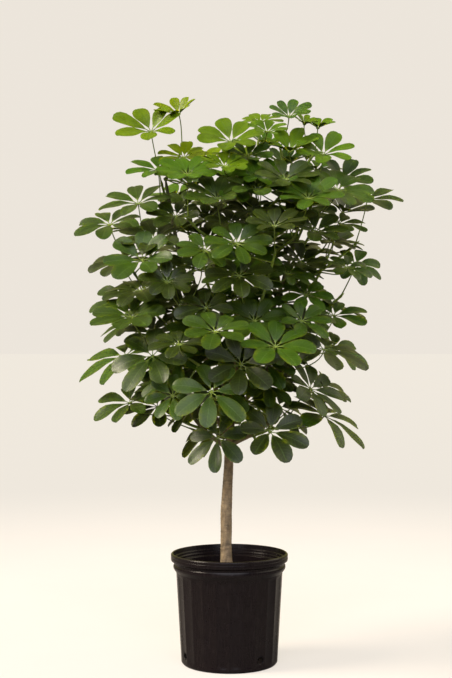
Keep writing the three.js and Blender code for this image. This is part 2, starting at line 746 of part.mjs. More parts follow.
const wood = woodSolid(0);
const woodRoom = woodSolid(GAP);
const soil = soilSolid(trunkTube(GAP));

// A leaflet that would cross wood, a stem, a stalk or an earlier leaf is left off.
const placed = [{ solid: wood }];
leaves.forEach((leaf) => placed.push({ solid: leafSolid(leaf, [], belowHub(leaf)), leaf }));
leaves.forEach((leaf) => {
  const others = placed.filter((other) => other.leaf !== leaf);
  const longest = counted(leaf.count, (k) => k)
    .sort((a, b) => Math.cos(leafletTurn(leaf, b)) - Math.cos(leafletTurn(leaf, a)))
    .slice(0, leaf.fixed ? LEAFLET.kept.shown : LEAFLET.kept.others);
  const point = leaf.hub.clone().addScaledVector(leaf.normal, -2 * HUB.drop);
  leaf.kept = longest.filter((k) => {
    const probe = leafSolid(leaf, [k], [{ point, radius: STALK.radius }], CLEARANCE);
    return !others.some((other) => meets(probe, other.solid));
  });
  leaf.solid = leafSolid(leaf, leaf.kept, belowHub(leaf));
  placed.push({ solid: leaf.solid, leaf });
});

// Meshes

const materials = {
  plastic: new THREE.MeshStandardMaterial({ color: 0x1b1a1b, roughness: 0.42, metalness: 0 }),
  peat: new THREE.MeshStandardMaterial({ color: 0x2a1f18, roughness: 0.95, metalness: 0 }),
  bark: new THREE.MeshStandardMaterial({ color: 0x7a6650, roughness: 0.85, metalness: 0 }),
  leaf: new THREE.MeshStandardMaterial({ color: 0x2c4a1c, roughness: 0.45, metalness: 0 }),
};

function named(name, solid, material) {
  const mesh = new THREE.Mesh(toGeometry(solid), material);
  mesh.name = name;
  return mesh;
}

const plant = new THREE.Group();
plant.add(named("pot", potSolid(), materials.plastic));
plant.add(named("potting_mix", soil, materials.peat));
plant.add(named("trunk_and_limbs", wood, materials.bark));
// A stem starts inside its limb, and is coped round it.
stems.forEach((stemLeaves, i) => {
  const grown = wasm.Manifold.union(stemLeaves.map(({ solid }) => solid));
  const number = String(i + 1).padStart(2, "0");
  plant.add(named(`leafy_stem_${number}`, largestBody(grown.subtract(woodRoom)), materials.leaf));
});

export default plant;
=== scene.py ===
"""A schefflera grown as a small tree in a fluted black nursery pot, dressed around its solids.

Every piece is a surface worked out with numpy. The plant is grown by the same rules and from the
same driving dimensions as its solids, in millimetres, and each piece is scaled to metres as it is
made. X is to the viewer's right, Y is away from the viewer, Z is up, and the origin is the middle
of the pot's foot.
"""

import logging
import math
from dataclasses import dataclass, field
from enum import Enum, IntEnum

import bpy
import numpy as np
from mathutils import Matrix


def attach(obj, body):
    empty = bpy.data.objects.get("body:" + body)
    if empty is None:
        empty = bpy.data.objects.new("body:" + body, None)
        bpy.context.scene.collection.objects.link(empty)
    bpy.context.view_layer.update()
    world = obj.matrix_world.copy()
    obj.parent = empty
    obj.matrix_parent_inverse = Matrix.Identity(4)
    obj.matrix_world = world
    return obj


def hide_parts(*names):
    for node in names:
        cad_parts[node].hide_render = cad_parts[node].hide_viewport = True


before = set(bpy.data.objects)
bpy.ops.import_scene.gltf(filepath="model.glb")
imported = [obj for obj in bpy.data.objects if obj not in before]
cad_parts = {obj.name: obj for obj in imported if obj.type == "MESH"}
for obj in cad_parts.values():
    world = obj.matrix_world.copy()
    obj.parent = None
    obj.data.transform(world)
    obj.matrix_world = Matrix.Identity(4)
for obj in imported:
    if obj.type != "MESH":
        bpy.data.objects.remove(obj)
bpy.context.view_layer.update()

log = logging.getLogger("schefflera")

Tree = bpy.types.NodeTree
Node = bpy.types.Node
Socket = bpy.types.NodeSocket
Material = bpy.types.Material
Piece = bpy.types.Object
Pair = tuple[float, float]
Triple = tuple[float, float, float]

MM = 0.001
TAU = 2 * math.pi
UP = np.array([0.0, 0.0, 1.0])
GOLDEN_TURN = 137.508  # degrees from one leaf to the next round a stem
ROOT = "root"


class Trait(IntEnum):
    """What each draw decides. A leaflet's own number is added to the ones that start with LEAFLET."""

    SWAY_ACROSS = 1
    SWAY_BACK = 2
    SWAY_UP = 3
    FIRST_TURN = 4
    SIZE = 5
    RISE = 6
    COUNT = 7
    OFFSET = 8
    BACK_SIZE = 9
    YOUTH = 10
    INNER_REACH = 11
    LEAFLET_TURN = 20
    LEAFLET_LENGTH = 40
    LEAFLET_ROLL = 60
    LEAFLET_WAVE = 80
    LEAFLET_SAG = 100
    LEAFLET_WIDTH = 120


class Slot(Enum):
    """The record's material slots."""

    POT = "pot_plastic"
    MIX = "potting_mix"
    BARK = "bark"
    LEAF = "leaf"


def draw(item: int | np.ndarray, trait: int | np.ndarray) -> float | np.ndarray:
    """A number from 0 to 1 that depends on nothing but its two whole numbers.

    It is the fraction left of a large multiple of the sine of their weighted sum.

    Args:
        item: The number of the leaf, or of another thing that varies.
        trait: What the number decides.

    Returns:
        The number, or an array of them where an argument is one.
    """
    wave = np.sin(item * 127.1 + trait * 311.7 + 74.7) * 43758.5453
    return wave - np.floor(wave)


def draw_around(spread: float, item: int | np.ndarray, trait: int | np.ndarray) -> float | np.ndarray:
    """The same, from half a spread below zero to half a spread above it."""
    return spread * (draw(item, trait) - 0.5)


def vec(*parts: float) -> np.ndarray:
    """A vector of its parts."""
    return np.array(parts, float)


def unit(vectors: np.ndarray) -> np.ndarray:
    """The vectors, each brought to a length of 1."""
    return vectors / np.linalg.norm(vectors, axis=-1, keepdims=True)


def length(vector: np.ndarray) -> float:
    """How long a vector is."""
    return float(np.linalg.norm(vector))


def lerp(low: float | np.ndarray, high: float | np.ndarray, share: float | np.ndarray) -> float | np.ndarray:
    """What lies at a share of the way from low to high."""
    return low + (high - low) * share


def smooth(edge0: float, edge1: float, value: np.ndarray) -> np.ndarray:
    """0 below the first edge, 1 above the second, and an S-curve between them."""
    share = np.clip((value - edge0) / (edge1 - edge0), 0, 1)
    return share * share * (3 - 2 * share)


def bump(values: np.ndarray, middle: float | np.ndarray, width: float) -> np.ndarray:
    """A bell curve: 1 at its middle, and falling to about a third one width away."""
    return np.exp(-(((values - middle) / width) ** 2))


def square_to(along: np.ndarray) -> tuple[np.ndarray, np.ndarray]:
    """Two directions square to a third and to each other."""
    side = unit(np.cross(along, vec(0.3, 0.9, 0.3)))
    return side, np.cross(along, side)


@dataclass
class Bezier:
    """A smooth curve that three or four control points draw."""

    controls: np.ndarray

    def at(self, shares: float | np.ndarray) -> np.ndarray:
        """The points at shares of the curve: the sum of the controls, each by its binomial weight.

        Args:
            shares: From 0 at the curve's start to 1 at its end.

        Returns:
            One point for each share.
        """
        t = np.asarray(shares, float)[..., None]
        k = 1 - t
        if len(self.controls) == 3:
            first, middle, last = self.controls
            return k * k * first + 2 * k * t * middle + t * t * last
        first, second, third, last = self.controls
        return k * k * k * first + 3 * k * k * t * second + 3 * k * t * t * third + t * t * t * last

    def samples(self, steps: int) -> np.ndarray:
        """The points at the ends of equal steps of the parameter."""
        return self.at(np.arange(steps + 1) / steps)

    def end_direction(self) -> np.ndarray:
        """The direction in which the curve arrives at its end."""
        return unit(self.at(1.0) - self.at(0.9999))


@dataclass
class Surface:
    """The parts of a piece as they are gathered: points, faces, and what the points carry.

    Each point has a growth of three numbers and a place of two, along and across. On green parts and
    on wood the growth says how young the point is, how much of a stalk, and how much it is on the
    underside; on leaves, stalks and hubs the first number also carries painted light, higher at the top
    and on the lit left of the crown. Its first number says on the pot how near a ridge the point is,
    and on the potting mix whether it is on a chip.
    """

    points: list[np.ndarray] = field(default_factory=list)
    faces: list[list[int]] = field(default_factory=list)
    growth: list[np.ndarray] = field(default_factory=list)
    places: list[np.ndarray] = field(default_factory=list)
    count: int = 0

    def add(
        self, points: np.ndarray, faces: list[np.ndarray], growth: np.ndarray, places: np.ndarray
    ) -> None:
        """Adds a part.

        Args:
            points: Its points in millimetres, in any shape that ends in 3.
            faces: Arrays of faces, each with one number of corners, counted from the part's first point.
            growth: For each point, or for all of them, its three numbers.
            places: For each point, or for all of them, along and across.
        """
        flat = points.reshape(-1, 3)
        for group in faces:
            self.faces += (group.reshape(-1, group.shape[-1]) + self.count).tolist()
        self.points.append(flat)
        self.growth.append(np.broadcast_to(growth, points.shape).reshape(-1, 3))
        self.places.append(np.broadcast_to(places, points.shape[:-1] + (2,)).reshape(-1, 2))
        self.count += len(flat)

    def build(self, name: str, material: Material, sharp: float = 60) -> Piece:
        """Makes the piece's object.

        Args:
            name: The piece's name.
            material: Its material.
            sharp: The angle in degrees from which an edge isn't smoothed.

        Returns:
            The new object, in metres.
        """
        mesh = bpy.data.meshes.new(name)
        mesh.from_pydata(np.concatenate(self.points) * MM, [], self.faces)
        mesh.update()
        growth = mesh.attributes.new("growth", "FLOAT_VECTOR", "POINT")
        growth.data.foreach_set("vector", np.concatenate(self.growth).astype(np.float32).ravel())
        corners = np.empty(len(mesh.loops), np.int32)
        mesh.loops.foreach_get("vertex_index", corners)
        layer = mesh.uv_layers.new(name="along_across")
        layer.data.foreach_set("uv", np.concatenate(self.places)[corners].astype(np.float32).ravel())
        mesh.shade_smooth()
        mesh.set_sharp_from_angle(angle=math.radians(sharp))
        mesh.materials.append(material)
        piece = bpy.data.objects.new(name, mesh)
        bpy.context.scene.collection.objects.link(piece)
        return piece


def wrapped_faces(rows: int, around: int) -> np.ndarray:
    """The quads of a grid of points whose rows close on themselves, with their outsides out.

    Args:
        rows: How many rings of points there are.
        around: How many points each ring has.

    Returns:
        One row of four point numbers for each quad.
    """
    row = np.arange(rows - 1)[:, None] * around
    here = np.arange(around)[None, :]
    after = (here + 1) % around
    quads = np.stack([row + here, row + after, row + around + after, row + around + here], axis=-1)
    return quads.reshape(-1, 4)


def end_caps(rows: int, around: int) -> np.ndarray:
    """The two faces that close the first ring and the last."""
    ring = np.arange(around)
    return np.stack([ring[::-1], (rows - 1) * around + ring])


def frames_along(line: np.ndarray) -> tuple[np.ndarray, np.ndarray, np.ndarray]:
    """The directions along a line of points, and two across it.

    The first across is the cross product of along and the reference direction, among seven, that
    the line stays furthest from, so the frames never flip.

    Args:
        line: The points, one to a row.

    Returns:
        Along, across and aside, one row for each point.
    """
    along = unit(np.gradient(line, axis=0))
    ways = [[1, 0, 0], [0, 1, 0], [0, 0, 1], [1, 1, 1], [1, -1, 1], [1, 1, -1], [-1, 1, 1]]
    references = unit(np.array(ways, float))
    closeness = np.abs(along @ references.T).max(axis=0)
    across = unit(np.cross(along, references[closeness.argmin()]))
    return along, across, np.cross(along, across)


def tube(line: np.ndarray, radii: np.ndarray, sides: int) -> tuple[np.ndarray, list[np.ndarray]]:
    """A closed tube along a line: at each point a circle of that point's radius, square to the line.

    Args:
        line: The points of its middle line, in millimetres.
        radii: The radius at each point, or at each point and side.
        sides: How many points each circle has.

    Returns:
        The points, in rows of rings, and the faces.
    """
    _, across, aside = frames_along(line)
    turn = np.arange(sides) / sides * TAU
    reach = np.broadcast_to(radii if radii.ndim == 2 else radii[:, None], (len(line), sides))[..., None]
    around = np.cos(turn)[:, None] * across[:, None] + np.sin(turn)[:, None] * aside[:, None]
    return line[:, None] + reach * around, [wrapped_faces(len(line), sides), end_caps(len(line), sides)]


def dress(piece: Piece, slot: Slot, *nodes: str) -> Piece:
    """Sets a finished piece in place of its solids and reports it.

    Args:
        piece: The piece.
        slot: The record's slot. It is not used.
        nodes: The solids that it stands for.

    Returns:
        The same piece.
    """
    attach(piece, ROOT)
    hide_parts(*nodes)
    log.info("%s: %d faces, for %s", piece.name, len(piece.data.polygons), ", ".join(nodes))
    return piece


# Materials


def add_node(
    tree: Tree, kind: str, inputs: dict[str | int, object] | None = None, **settings: object
) -> Node:
    """Adds a node, sets it and feeds it.

    Args:
        tree: The material's or the group's tree.
        kind: The node's type.
        inputs: For each input, by name or number, a value or the socket that feeds it.
        settings: The node's own settings.

    Returns:
        The node.
    """
    node = tree.nodes.new(kind)
    for name, value in settings.items():
        setattr(node, name, value)
    for name, value in (inputs or {}).items():
        if isinstance(value, Socket):
            tree.links.new(value, node.inputs[name])
        else:
            node.inputs[name].default_value = value
    return node


def calculate(tree: Tree, operation: str, *values: object, clamp: bool = False) -> Socket:
    """The result of a Math node on values or sockets."""
    inputs = dict(enumerate(values))
    return add_node(tree, "ShaderNodeMath", inputs, operation=operation, use_clamp=clamp).outputs[0]


def mix_colours(
    tree: Tree, share: object, first: object, second: object, blend: str = "MIX"
) -> Socket:
    """The colour that a share of the way from the first colour to the second gives.

    Args:
        tree: The material's or the group's tree.
        share: A value or a socket.
        first: The colour at 0, as three numbers or a socket.
        second: The colour at 1, as three numbers or a socket.
        blend: How the second colour is laid on the first.

    Returns:
        The mixed colour's socket.
    """
    inputs = {0: share, 6: opaque(first), 7: opaque(second)}
    return add_node(tree, "ShaderNodeMix", inputs, data_type="RGBA", blend_type=blend).outputs[2]


def opaque(colour: object) -> object:
    """A colour's three numbers with an alpha of 1, or a socket as it is."""
    return colour if isinstance(colour, Socket) else (*colour, 1.0)


def new_group(name: str, inputs: dict[str, str], outputs: dict[str, str]) -> tuple[Tree, Node, Node]:
    """An empty node group with named sockets.

    Args:
        name: The group's name.
        inputs: The name and the type of each input.
        outputs: The name and the type of each output.

    Returns:
        The group's tree, its input node and its output node.
    """
    tree = bpy.data.node_groups.new(name, "ShaderNodeTree")
    for title, kind in inputs.items():
        tree.interface.new_socket(title, in_out="INPUT", socket_type=kind)
    for title, kind in outputs.items():
        tree.interface.new_socket(title, in_out="OUTPUT", socket_type=kind)
    return tree, tree.nodes.new("NodeGroupInput"), tree.nodes.new("NodeGroupOutput")


def mottle_group() -> Tree:
    """Cloudy variation: fractal noise of a scale, stretched to run from a low value to a high one.

    Returns:
        The group's tree.
    """
    number = "NodeSocketFloat"
    sockets = {"Vector": "NodeSocketVector", "Scale": number, "Low": number, "High": number}
    tree, given, result = new_group("mottle", sockets, {"Value": number})
    vector, scale = given.outputs["Vector"], given.outputs["Scale"]
    inputs = {"Vector": vector, "Scale": scale, "Detail": 4.0, "Roughness": 0.6}
    noise = add_node(tree, "ShaderNodeTexNoise", inputs)
    spread = {
        "Value": noise.outputs["Fac"],
        "From Min": 0.3,
        "From Max": 0.7,
        "To Min": given.outputs["Low"],
        "To Max": given.outputs["High"],
    }
    tree.links.new(add_node(tree, "ShaderNodeMapRange", spread).outputs[0], result.inputs["Value"])
    return tree


def soft_line_group() -> Tree:
    """A line with soft edges: 1 where a value is zero, and 0 where it is a width or more from zero.

    Returns:
        The group's tree.
    """
    sockets = {"Value": "NodeSocketFloat", "Width": "NodeSocketFloat"}
    tree, given, result = new_group("soft_line", sockets, {"Mask": "NodeSocketFloat"})
    distance = calculate(tree, "ABSOLUTE", given.outputs["Value"])
    inputs = {"Value": distance, "From Max": given.outputs["Width"], "To Min": 1.0, "To Max": 0.0}
    ramp = add_node(tree, "ShaderNodeMapRange", inputs, interpolation_type="SMOOTHSTEP")
    tree.links.new(ramp.outputs[0], result.inputs["Mask"])
    return tree


def dust_group(mottle: Tree) -> Tree:
    """Settled dust: a mask that is strongest where the surface faces up, broken by cloudy noise.

    Args:
        mottle: The group that makes the noise.

    Returns:
        The group's tree.
    """
    sockets = {"Vector": "NodeSocketVector", "Amount": "NodeSocketFloat"}
    tree, given, result = new_group("dust", sockets, {"Mask": "NodeSocketFloat"})
    normal = add_node(tree, "ShaderNodeNewGeometry").outputs["Normal"]
    upward = add_node(tree, "ShaderNodeSeparateXYZ", {"Vector": normal}).outputs["Z"]
    facing_up = calculate(tree, "MULTIPLY_ADD", upward, 0.5, 0.5, clamp=True)
    cloud = use_group(tree, mottle, Vector=given.outputs["Vector"], Scale=45.0, Low=0.0, High=1.0)
    settled = calculate(tree, "MULTIPLY", facing_up, cloud)
    mask = calculate(tree, "MULTIPLY", settled, given.outputs["Amount"], clamp=True)
    tree.links.new(mask, result.inputs["Mask"])
    return tree


@dataclass(frozen=True)
class Effects:
    """The shared effects, each a node group."""

    mottle: Tree
    soft_line: Tree
    dust: Tree

    @classmethod
    def make(cls) -> "Effects":
        """Builds each group once."""
        mottle = mottle_group()
        return cls(mottle, soft_line_group(), dust_group(mottle))


def use_group(tree: Tree, group: Tree, **inputs: object) -> Socket:
    """Places a shared effect in a material.

    Args:
        tree: The material's tree.
        group: The effect.
        inputs: Its inputs, with a value or a socket for each.

    Returns:
        The effect's only output.
    """
    node = tree.nodes.new("ShaderNodeGroup")
    node.node_tree = group
    for name, value in inputs.items():
        if isinstance(value, Socket):
            tree.links.new(value, node.inputs[name])
        else:
            node.inputs[name].default_value = value
    return node.outputs[0]


def new_material(name: str) -> tuple[Material, Tree, Node]:
    """A material with its shader and output joined.

    Args:
        name: The material's name.

    Returns:
        The material, its tree and its Principled shader.
    """
    material = bpy.data.materials.new(name)
    material.use_nodes = True
    tree = material.node_tree
    return material, tree, tree.nodes["Principled BSDF"]


def object_place(tree: Tree) -> Socket:
    """Where a point is in the object's own coordinates."""
    return add_node(tree, "ShaderNodeTexCoord").outputs["Object"]


def stretched(tree: Tree, place: Socket, scale: Triple) -> Socket:
    """A place with each of its axes scaled."""
    return add_node(tree, "ShaderNodeMapping", {"Vector": place, "Scale": scale}).outputs["Vector"]


def raise_surface(tree: Tree, shader: Node, height: Socket, distance: float, strength: float) -> None:
    """Gives a shader relief.

    Args:
        tree: The material's tree.
        shader: The shader.
        height: The relief, from 0 to 1.
        distance: How high 1 is, in metres.
        strength: How much of the relief is used.
    """
    inputs = {"Height": height, "Distance": distance, "Strength": strength}
    relief = add_node(tree, "ShaderNodeBump", inputs)
    tree.links.new(relief.outputs["Normal"], shader.inputs["Normal"])


@dataclass(frozen=True)
class LeafFinish:
    """Leaves: deep green when grown, clear green when fresh, yellow-green when young, with paler ribs. The
    fresh and young greens are also painted light on leaves at the top and the lit left of the crown.

    Wax gives a grown leaf's upper face a soft sheen. The light that comes through a leaf is yellow.
    """

    grown: Triple = (0.021, 0.034, 0.0012)
    fresh: Triple = (0.052, 0.123, 0.007)
    # young is also the painted glow of light through leaves at the top and the lit left of the crown
    young: Triple = (0.150, 0.210, 0.001)
    underside: Triple = (0.100, 0.135, 0.006)
    rib: Triple = (0.100, 0.160, 0.030)
    stalk: Triple = (0.210, 0.280, 0.050)
    rib_width: float = 0.09  # of the leaflet's half width
    rib_tint: float = 0.45
    vein_width: float = 0.13  # of a vein spacing
    vein_tint: float = 0.22
    vein_pairs: float = 11
    vein_slant: float = 1.6  # how far along a vein runs while it crosses half the leaflet, in vein spacings
    roughness: float = 0.32
    relief: float = 0.0004
    gloss: float = 0.12
    wax: float = 0.7  # on a grown leaf's upper face
    wax_lost: float = 1.4  # with youth, and with the painted light in the same mask
    wax_roughness: float = 0.44
    glow_through: float = 0.45
    glow_colour: Triple = (1.0, 1.0, 0.06)
    glow_reach: float = 0.002

    def build(self, effects: Effects) -> Material:
        """Makes the material. It reads the attribute growth and the place along and across the leaflet.

        Args:
            effects: The shared effects.

        Returns:
            The material.
        """
        material, tree, shader = new_material("schefflera_leaf")
        attribute = add_node(tree, "ShaderNodeAttribute", attribute_name="growth")
        growth = add_node(tree, "ShaderNodeSeparateXYZ", {"Vector": attribute.outputs["Vector"]})
        youth_and_light, stalk, under = growth.outputs
        uv = add_node(tree, "ShaderNodeUVMap", uv_map="along_across").outputs["UV"]
        place = add_node(tree, "ShaderNodeSeparateXYZ", {"Vector": uv})
        along, across = place.outputs["X"], place.outputs["Y"]
        where = object_place(tree)

        rib = use_group(tree, effects.soft_line, Value=across, Width=self.rib_width)
        outward = calculate(tree, "ABSOLUTE", across)
        phase = calculate(tree, "MULTIPLY", along, self.vein_pairs)
        slant = calculate(tree, "MULTIPLY", outward, self.vein_slant)
        wave = calculate(tree, "PINGPONG", calculate(tree, "SUBTRACT", phase, slant), 0.5)
        vein = use_group(tree, effects.soft_line, Value=wave, Width=self.vein_width)

        cloud = use_group(tree, effects.mottle, Vector=where, Scale=28.0, Low=0.78, High=1.22)
        fine = use_group(tree, effects.mottle, Vector=where, Scale=260.0, Low=0.94, High=1.06)
        shade = calculate(tree, "MULTIPLY", cloud, fine)
        # painted light: the youth-and-light mask brings the fresh and young greens to leaves at the top and
        # on the lit left of the crown, besides young leaves by chance
        first_half = calculate(tree, "MULTIPLY", youth_and_light, 2.0, clamp=True)
        second_half = calculate(tree, "MULTIPLY_ADD", youth_and_light, 2.0, -1.0, clamp=True)
        blade = mix_colours(tree, first_half, self.grown, self.fresh)
        blade = mix_colours(tree, second_half, blade, self.young)
        blade = mix_colours(tree, calculate(tree, "MULTIPLY", vein, self.vein_tint), blade, self.rib)
        grey = calculate(tree, "MULTIPLY", under, calculate(tree, "MULTIPLY_ADD", youth_and_light, -0.6, 0.75))
        blade = mix_colours(tree, grey, blade, self.underside)
        blade = mix_colours(tree, calculate(tree, "MULTIPLY", rib, self.rib_tint), blade, self.rib)
        colour = mix_colours(tree, stalk, blade, self.stalk)
        shade = add_node(tree, "ShaderNodeCombineColor", {0: shade, 1: shade, 2: shade}).outputs[0]
        colour = mix_colours(tree, 1.0, colour, shade, "MULTIPLY")
        tree.links.new(colour, shader.inputs["Base Color"])

        low, high = self.roughness - 0.06, self.roughness + 0.08
        rough = use_group(tree, effects.mottle, Vector=where, Scale=60.0, Low=low, High=high)
        tree.links.new(calculate(tree, "MULTIPLY_ADD", under, 0.3, rough), shader.inputs["Roughness"])
        shader.inputs["Specular IOR Level"].default_value = self.gloss
        waxy = calculate(tree, "MULTIPLY_ADD", youth_and_light, -self.wax_lost, self.wax, clamp=True)
        waxy = calculate(tree, "MULTIPLY", waxy, calculate(tree, "SUBTRACT", 1.0, under))
        tree.links.new(waxy, shader.inputs["Coat Weight"])
        shader.inputs["Coat Roughness"].default_value = self.wax_roughness
        shader.inputs["Subsurface Weight"].default_value = self.glow_through
        shader.inputs["Subsurface Radius"].default_value = self.glow_colour
        shader.inputs["Subsurface Scale"].default_value = self.glow_reach
        ridges = calculate(tree, "MULTIPLY_ADD", vein, -0.35, calculate(tree, "MULTIPLY", rib, -0.6))
        raise_surface(tree, shader, ridges, self.relief, 0.6)
        return material


@dataclass(frozen=True)
class BarkFinish:
    """Bark: grey-brown with pale flecks, blotches and fine rings, turning green-brown on thin limbs."""

    pale: Triple = (0.430, 0.305, 0.168)
    dark: Triple = (0.095, 0.065, 0.035)
    fleck: Triple = (0.680, 0.560, 0.400)
    limb: Triple = (0.120, 0.130, 0.045)
    roughness: float = 0.82
    relief: float = 0.0012

    def build(self, effects: Effects) -> Material:
        """Makes the material. The rings run round the wood, because their noise is squeezed along Z.

        Args:
            effects: The shared effects.

        Returns:
            The material.
        """
        material, tree, shader = new_material("schefflera_bark")
        where = object_place(tree)
        attribute = add_node(tree, "ShaderNodeAttribute", attribute_name="growth")
        young = add_node(tree, "ShaderNodeSeparateXYZ", {"Vector": attribute.outputs["Vector"]}).outputs["X"]
        squeezed, drawn_out = stretched(tree, where, (1, 1, 9)), stretched(tree, where, (1, 1, 0.25))
        rings = use_group(tree, effects.mottle, Vector=squeezed, Scale=42.0, Low=0.0, High=1.0)
        grain = use_group(tree, effects.mottle, Vector=drawn_out, Scale=240.0, Low=0.0, High=1.0)
        oblong = stretched(tree, where, (1, 1, 0.7))
        blotch = use_group(tree, effects.mottle, Vector=oblong, Scale=80.0, Low=-0.2, High=1.4)
        cells = {"Vector": stretched(tree, where, (0.6, 0.6, 1.6)), "Scale": 170.0}
        spots = add_node(tree, "ShaderNodeTexVoronoi", cells).outputs["Distance"]
        fleck = use_group(tree, effects.soft_line, Value=spots, Width=0.24)
        tone = calculate(tree, "MULTIPLY", blotch, 0.7)
        tone = calculate(tree, "MULTIPLY_ADD", rings, 0.3, tone, clamp=True)
        wood = mix_colours(tree, tone, self.dark, self.pale)
        wood = mix_colours(tree, calculate(tree, "MULTIPLY", grain, 0.35), wood, self.dark)
        wood = mix_colours(tree, calculate(tree, "MULTIPLY", fleck, 0.5), wood, self.fleck)
        wood = mix_colours(tree, young, wood, self.limb)
        dust = use_group(tree, effects.dust, Vector=where, Amount=0.25)
        tree.links.new(mix_colours(tree, dust, wood, self.fleck), shader.inputs["Base Color"])
        rough = calculate(tree, "MULTIPLY_ADD", rings, 0.1, self.roughness - 0.05)
        tree.links.new(rough, shader.inputs["Roughness"])
        height = calculate(tree, "MULTIPLY_ADD", grain, 0.4, rings)
        raise_surface(tree, shader, calculate(tree, "MULTIPLY_ADD", fleck, 0.5, height), self.relief, 0.7)
        return material


@dataclass(frozen=True)
class PotFinish:
    """Moulded black plastic: satin, a little cloudy, with a painted highlight and scuffs along the ridges,
    and some dust.
    """

    plastic: Triple = (0.0058, 0.0033, 0.0040)
    # the painted highlight on the ridges, and the colour of real scuffs
    ridge_highlight_and_scuff: Triple = (0.050, 0.038, 0.038)
    dusty: Triple = (0.130, 0.100, 0.080)
    roughness: float = 0.22
    relief: float = 0.0001
    gloss: float = 0.19

    def build(self, effects: Effects) -> Material:
        """Makes the material. It reads from the attribute growth how near a ridge a point is.

        Args:
            effects: The shared effects.

        Returns:
            The material.
        """
        material, tree, shader = new_material("pot_plastic")
        where = object_place(tree)
        attribute = add_node(tree, "ShaderNodeAttribute", attribute_name="growth")
        ridge = add_node(tree, "ShaderNodeSeparateXYZ", {"Vector": attribute.outputs["Vector"]}).outputs["X"]
        cloud = use_group(tree, effects.mottle, Vector=where, Scale=16.0, Low=-0.05, High=0.09)
        streaks = stretched(tree, where, (1, 1, 0.06))
        scuffs = use_group(tree, effects.mottle, Vector=streaks, Scale=420.0, Low=-1.2, High=1.0)
        scuffs = calculate(tree, "MULTIPLY", calculate(tree, "MAXIMUM", scuffs, 0.0), 0.15)
        # painted highlight: the ridges are lightened towards a paler colour, along with real scuffs from the
        # streaky noise
        worn = calculate(tree, "MULTIPLY_ADD", ridge, 0.6, scuffs, clamp=True)
        skin = mix_colours(tree, worn, self.plastic, self.ridge_highlight_and_scuff)
        dust = use_group(tree, effects.dust, Vector=where, Amount=0.05)
        tree.links.new(mix_colours(tree, dust, skin, self.dusty), shader.inputs["Base Color"])
        rough = calculate(tree, "ADD", cloud, self.roughness)
        tree.links.new(calculate(tree, "MULTIPLY_ADD", dust, 0.5, rough), shader.inputs["Roughness"])
        shader.inputs["Specular IOR Level"].default_value = self.gloss
        pebble = use_group(tree, effects.mottle, Vector=where, Scale=700.0, Low=0.0, High=1.0)
        raise_surface(tree, shader, pebble, self.relief, 0.25)
        return material


@dataclass(frozen=True)
class MixFinish:
    """Potting mix: dark moist peat with browner crumbs of bark."""

    peat: Triple = (0.020, 0.013, 0.009)
    crumb: Triple = (0.085, 0.052, 0.032)
    roughness: float = 0.92
    relief: float = 0.002

    def build(self, effects: Effects) -> Material:
        """Makes the material.

        Args:
            effects: The shared effects.

        Returns:
            The material.
        """
        material, tree, shader = new_material("potting_mix")
        where = object_place(tree)
        cells = add_node(tree, "ShaderNodeTexVoronoi", {"Vector": where, "Scale": 260.0}).outputs
        fine = use_group(tree, effects.mottle, Vector=where, Scale=500.0, Low=0.0, High=1.0)
        attribute = add_node(tree, "ShaderNodeAttribute", attribute_name="growth")
        chip = add_node(tree, "ShaderNodeSeparateXYZ", {"Vector": attribute.outputs["Vector"]}).outputs["X"]
        tint = add_node(tree, "ShaderNodeSeparateXYZ", {"Vector": cells["Color"]}).outputs["X"]
        share = calculate(tree, "MULTIPLY", calculate(tree, "POWER", tint, 2.5), fine)
        share = calculate(tree, "MAXIMUM", share, calculate(tree, "MULTIPLY", chip, tint))
        tree.links.new(mix_colours(tree, share, self.peat, self.crumb), shader.inputs["Base Color"])
        shader.inputs["Roughness"].default_value = self.roughness
        height = calculate(tree, "MULTIPLY_ADD", fine, 0.5, cells["Distance"])
        raise_surface(tree, shader, height, self.relief, 0.8)
        return material


@dataclass(frozen=True)
class FloorFinish:
    """A plain pale floor that goes over into the backdrop with the distance from the plant."""

    backdrop: Triple
    pale: Triple = (0.30, 0.28, 0.27)
    worn: Triple = (0.28, 0.26, 0.25)
    lift: float = 0.74
    plain_within: float = 0.6
    backdrop_from: float = 3.5

    def build(self, effects: Effects) -> Material:
        """Makes the material. What the eye sees is lifted by a glow that doesn't light the plant.

        Args:
            effects: The shared effects.

        Returns:
            The material.
        """
        material, tree, shader = new_material("studio_floor")
        where = object_place(tree)
        cloud = use_group(tree, effects.mottle, Vector=where, Scale=1.5, Low=0.0, High=1.0)
        distance = add_node(tree, "ShaderNodeVectorMath", {0: where}, operation="LENGTH").outputs["Value"]
        ramp = {"Value": distance, "From Min": self.plain_within, "From Max": self.backdrop_from}
        far = add_node(tree, "ShaderNodeMapRange", ramp, interpolation_type="SMOOTHSTEP").outputs[0]
        floor = mix_colours(tree, cloud, self.pale, self.worn)
        tree.links.new(mix_colours(tree, far, floor, (0.0, 0.0, 0.0)), shader.inputs["Base Color"])
        shader.inputs["Roughness"].default_value = 0.8
        shader.inputs["Specular IOR Level"].default_value = 0.1
        shader.inputs["Emission Color"].default_value = opaque(self.backdrop)
        seen = add_node(tree, "ShaderNodeLightPath").outputs["Is Camera Ray"]
        glow = add_node(tree, "ShaderNodeMix", {0: far, 2: self.lift, 3: 1.0}).outputs[0]
        tree.links.new(calculate(tree, "MULTIPLY", glow, seen), shader.inputs["Emission Strength"])
        return material


# The pot and the potting mix


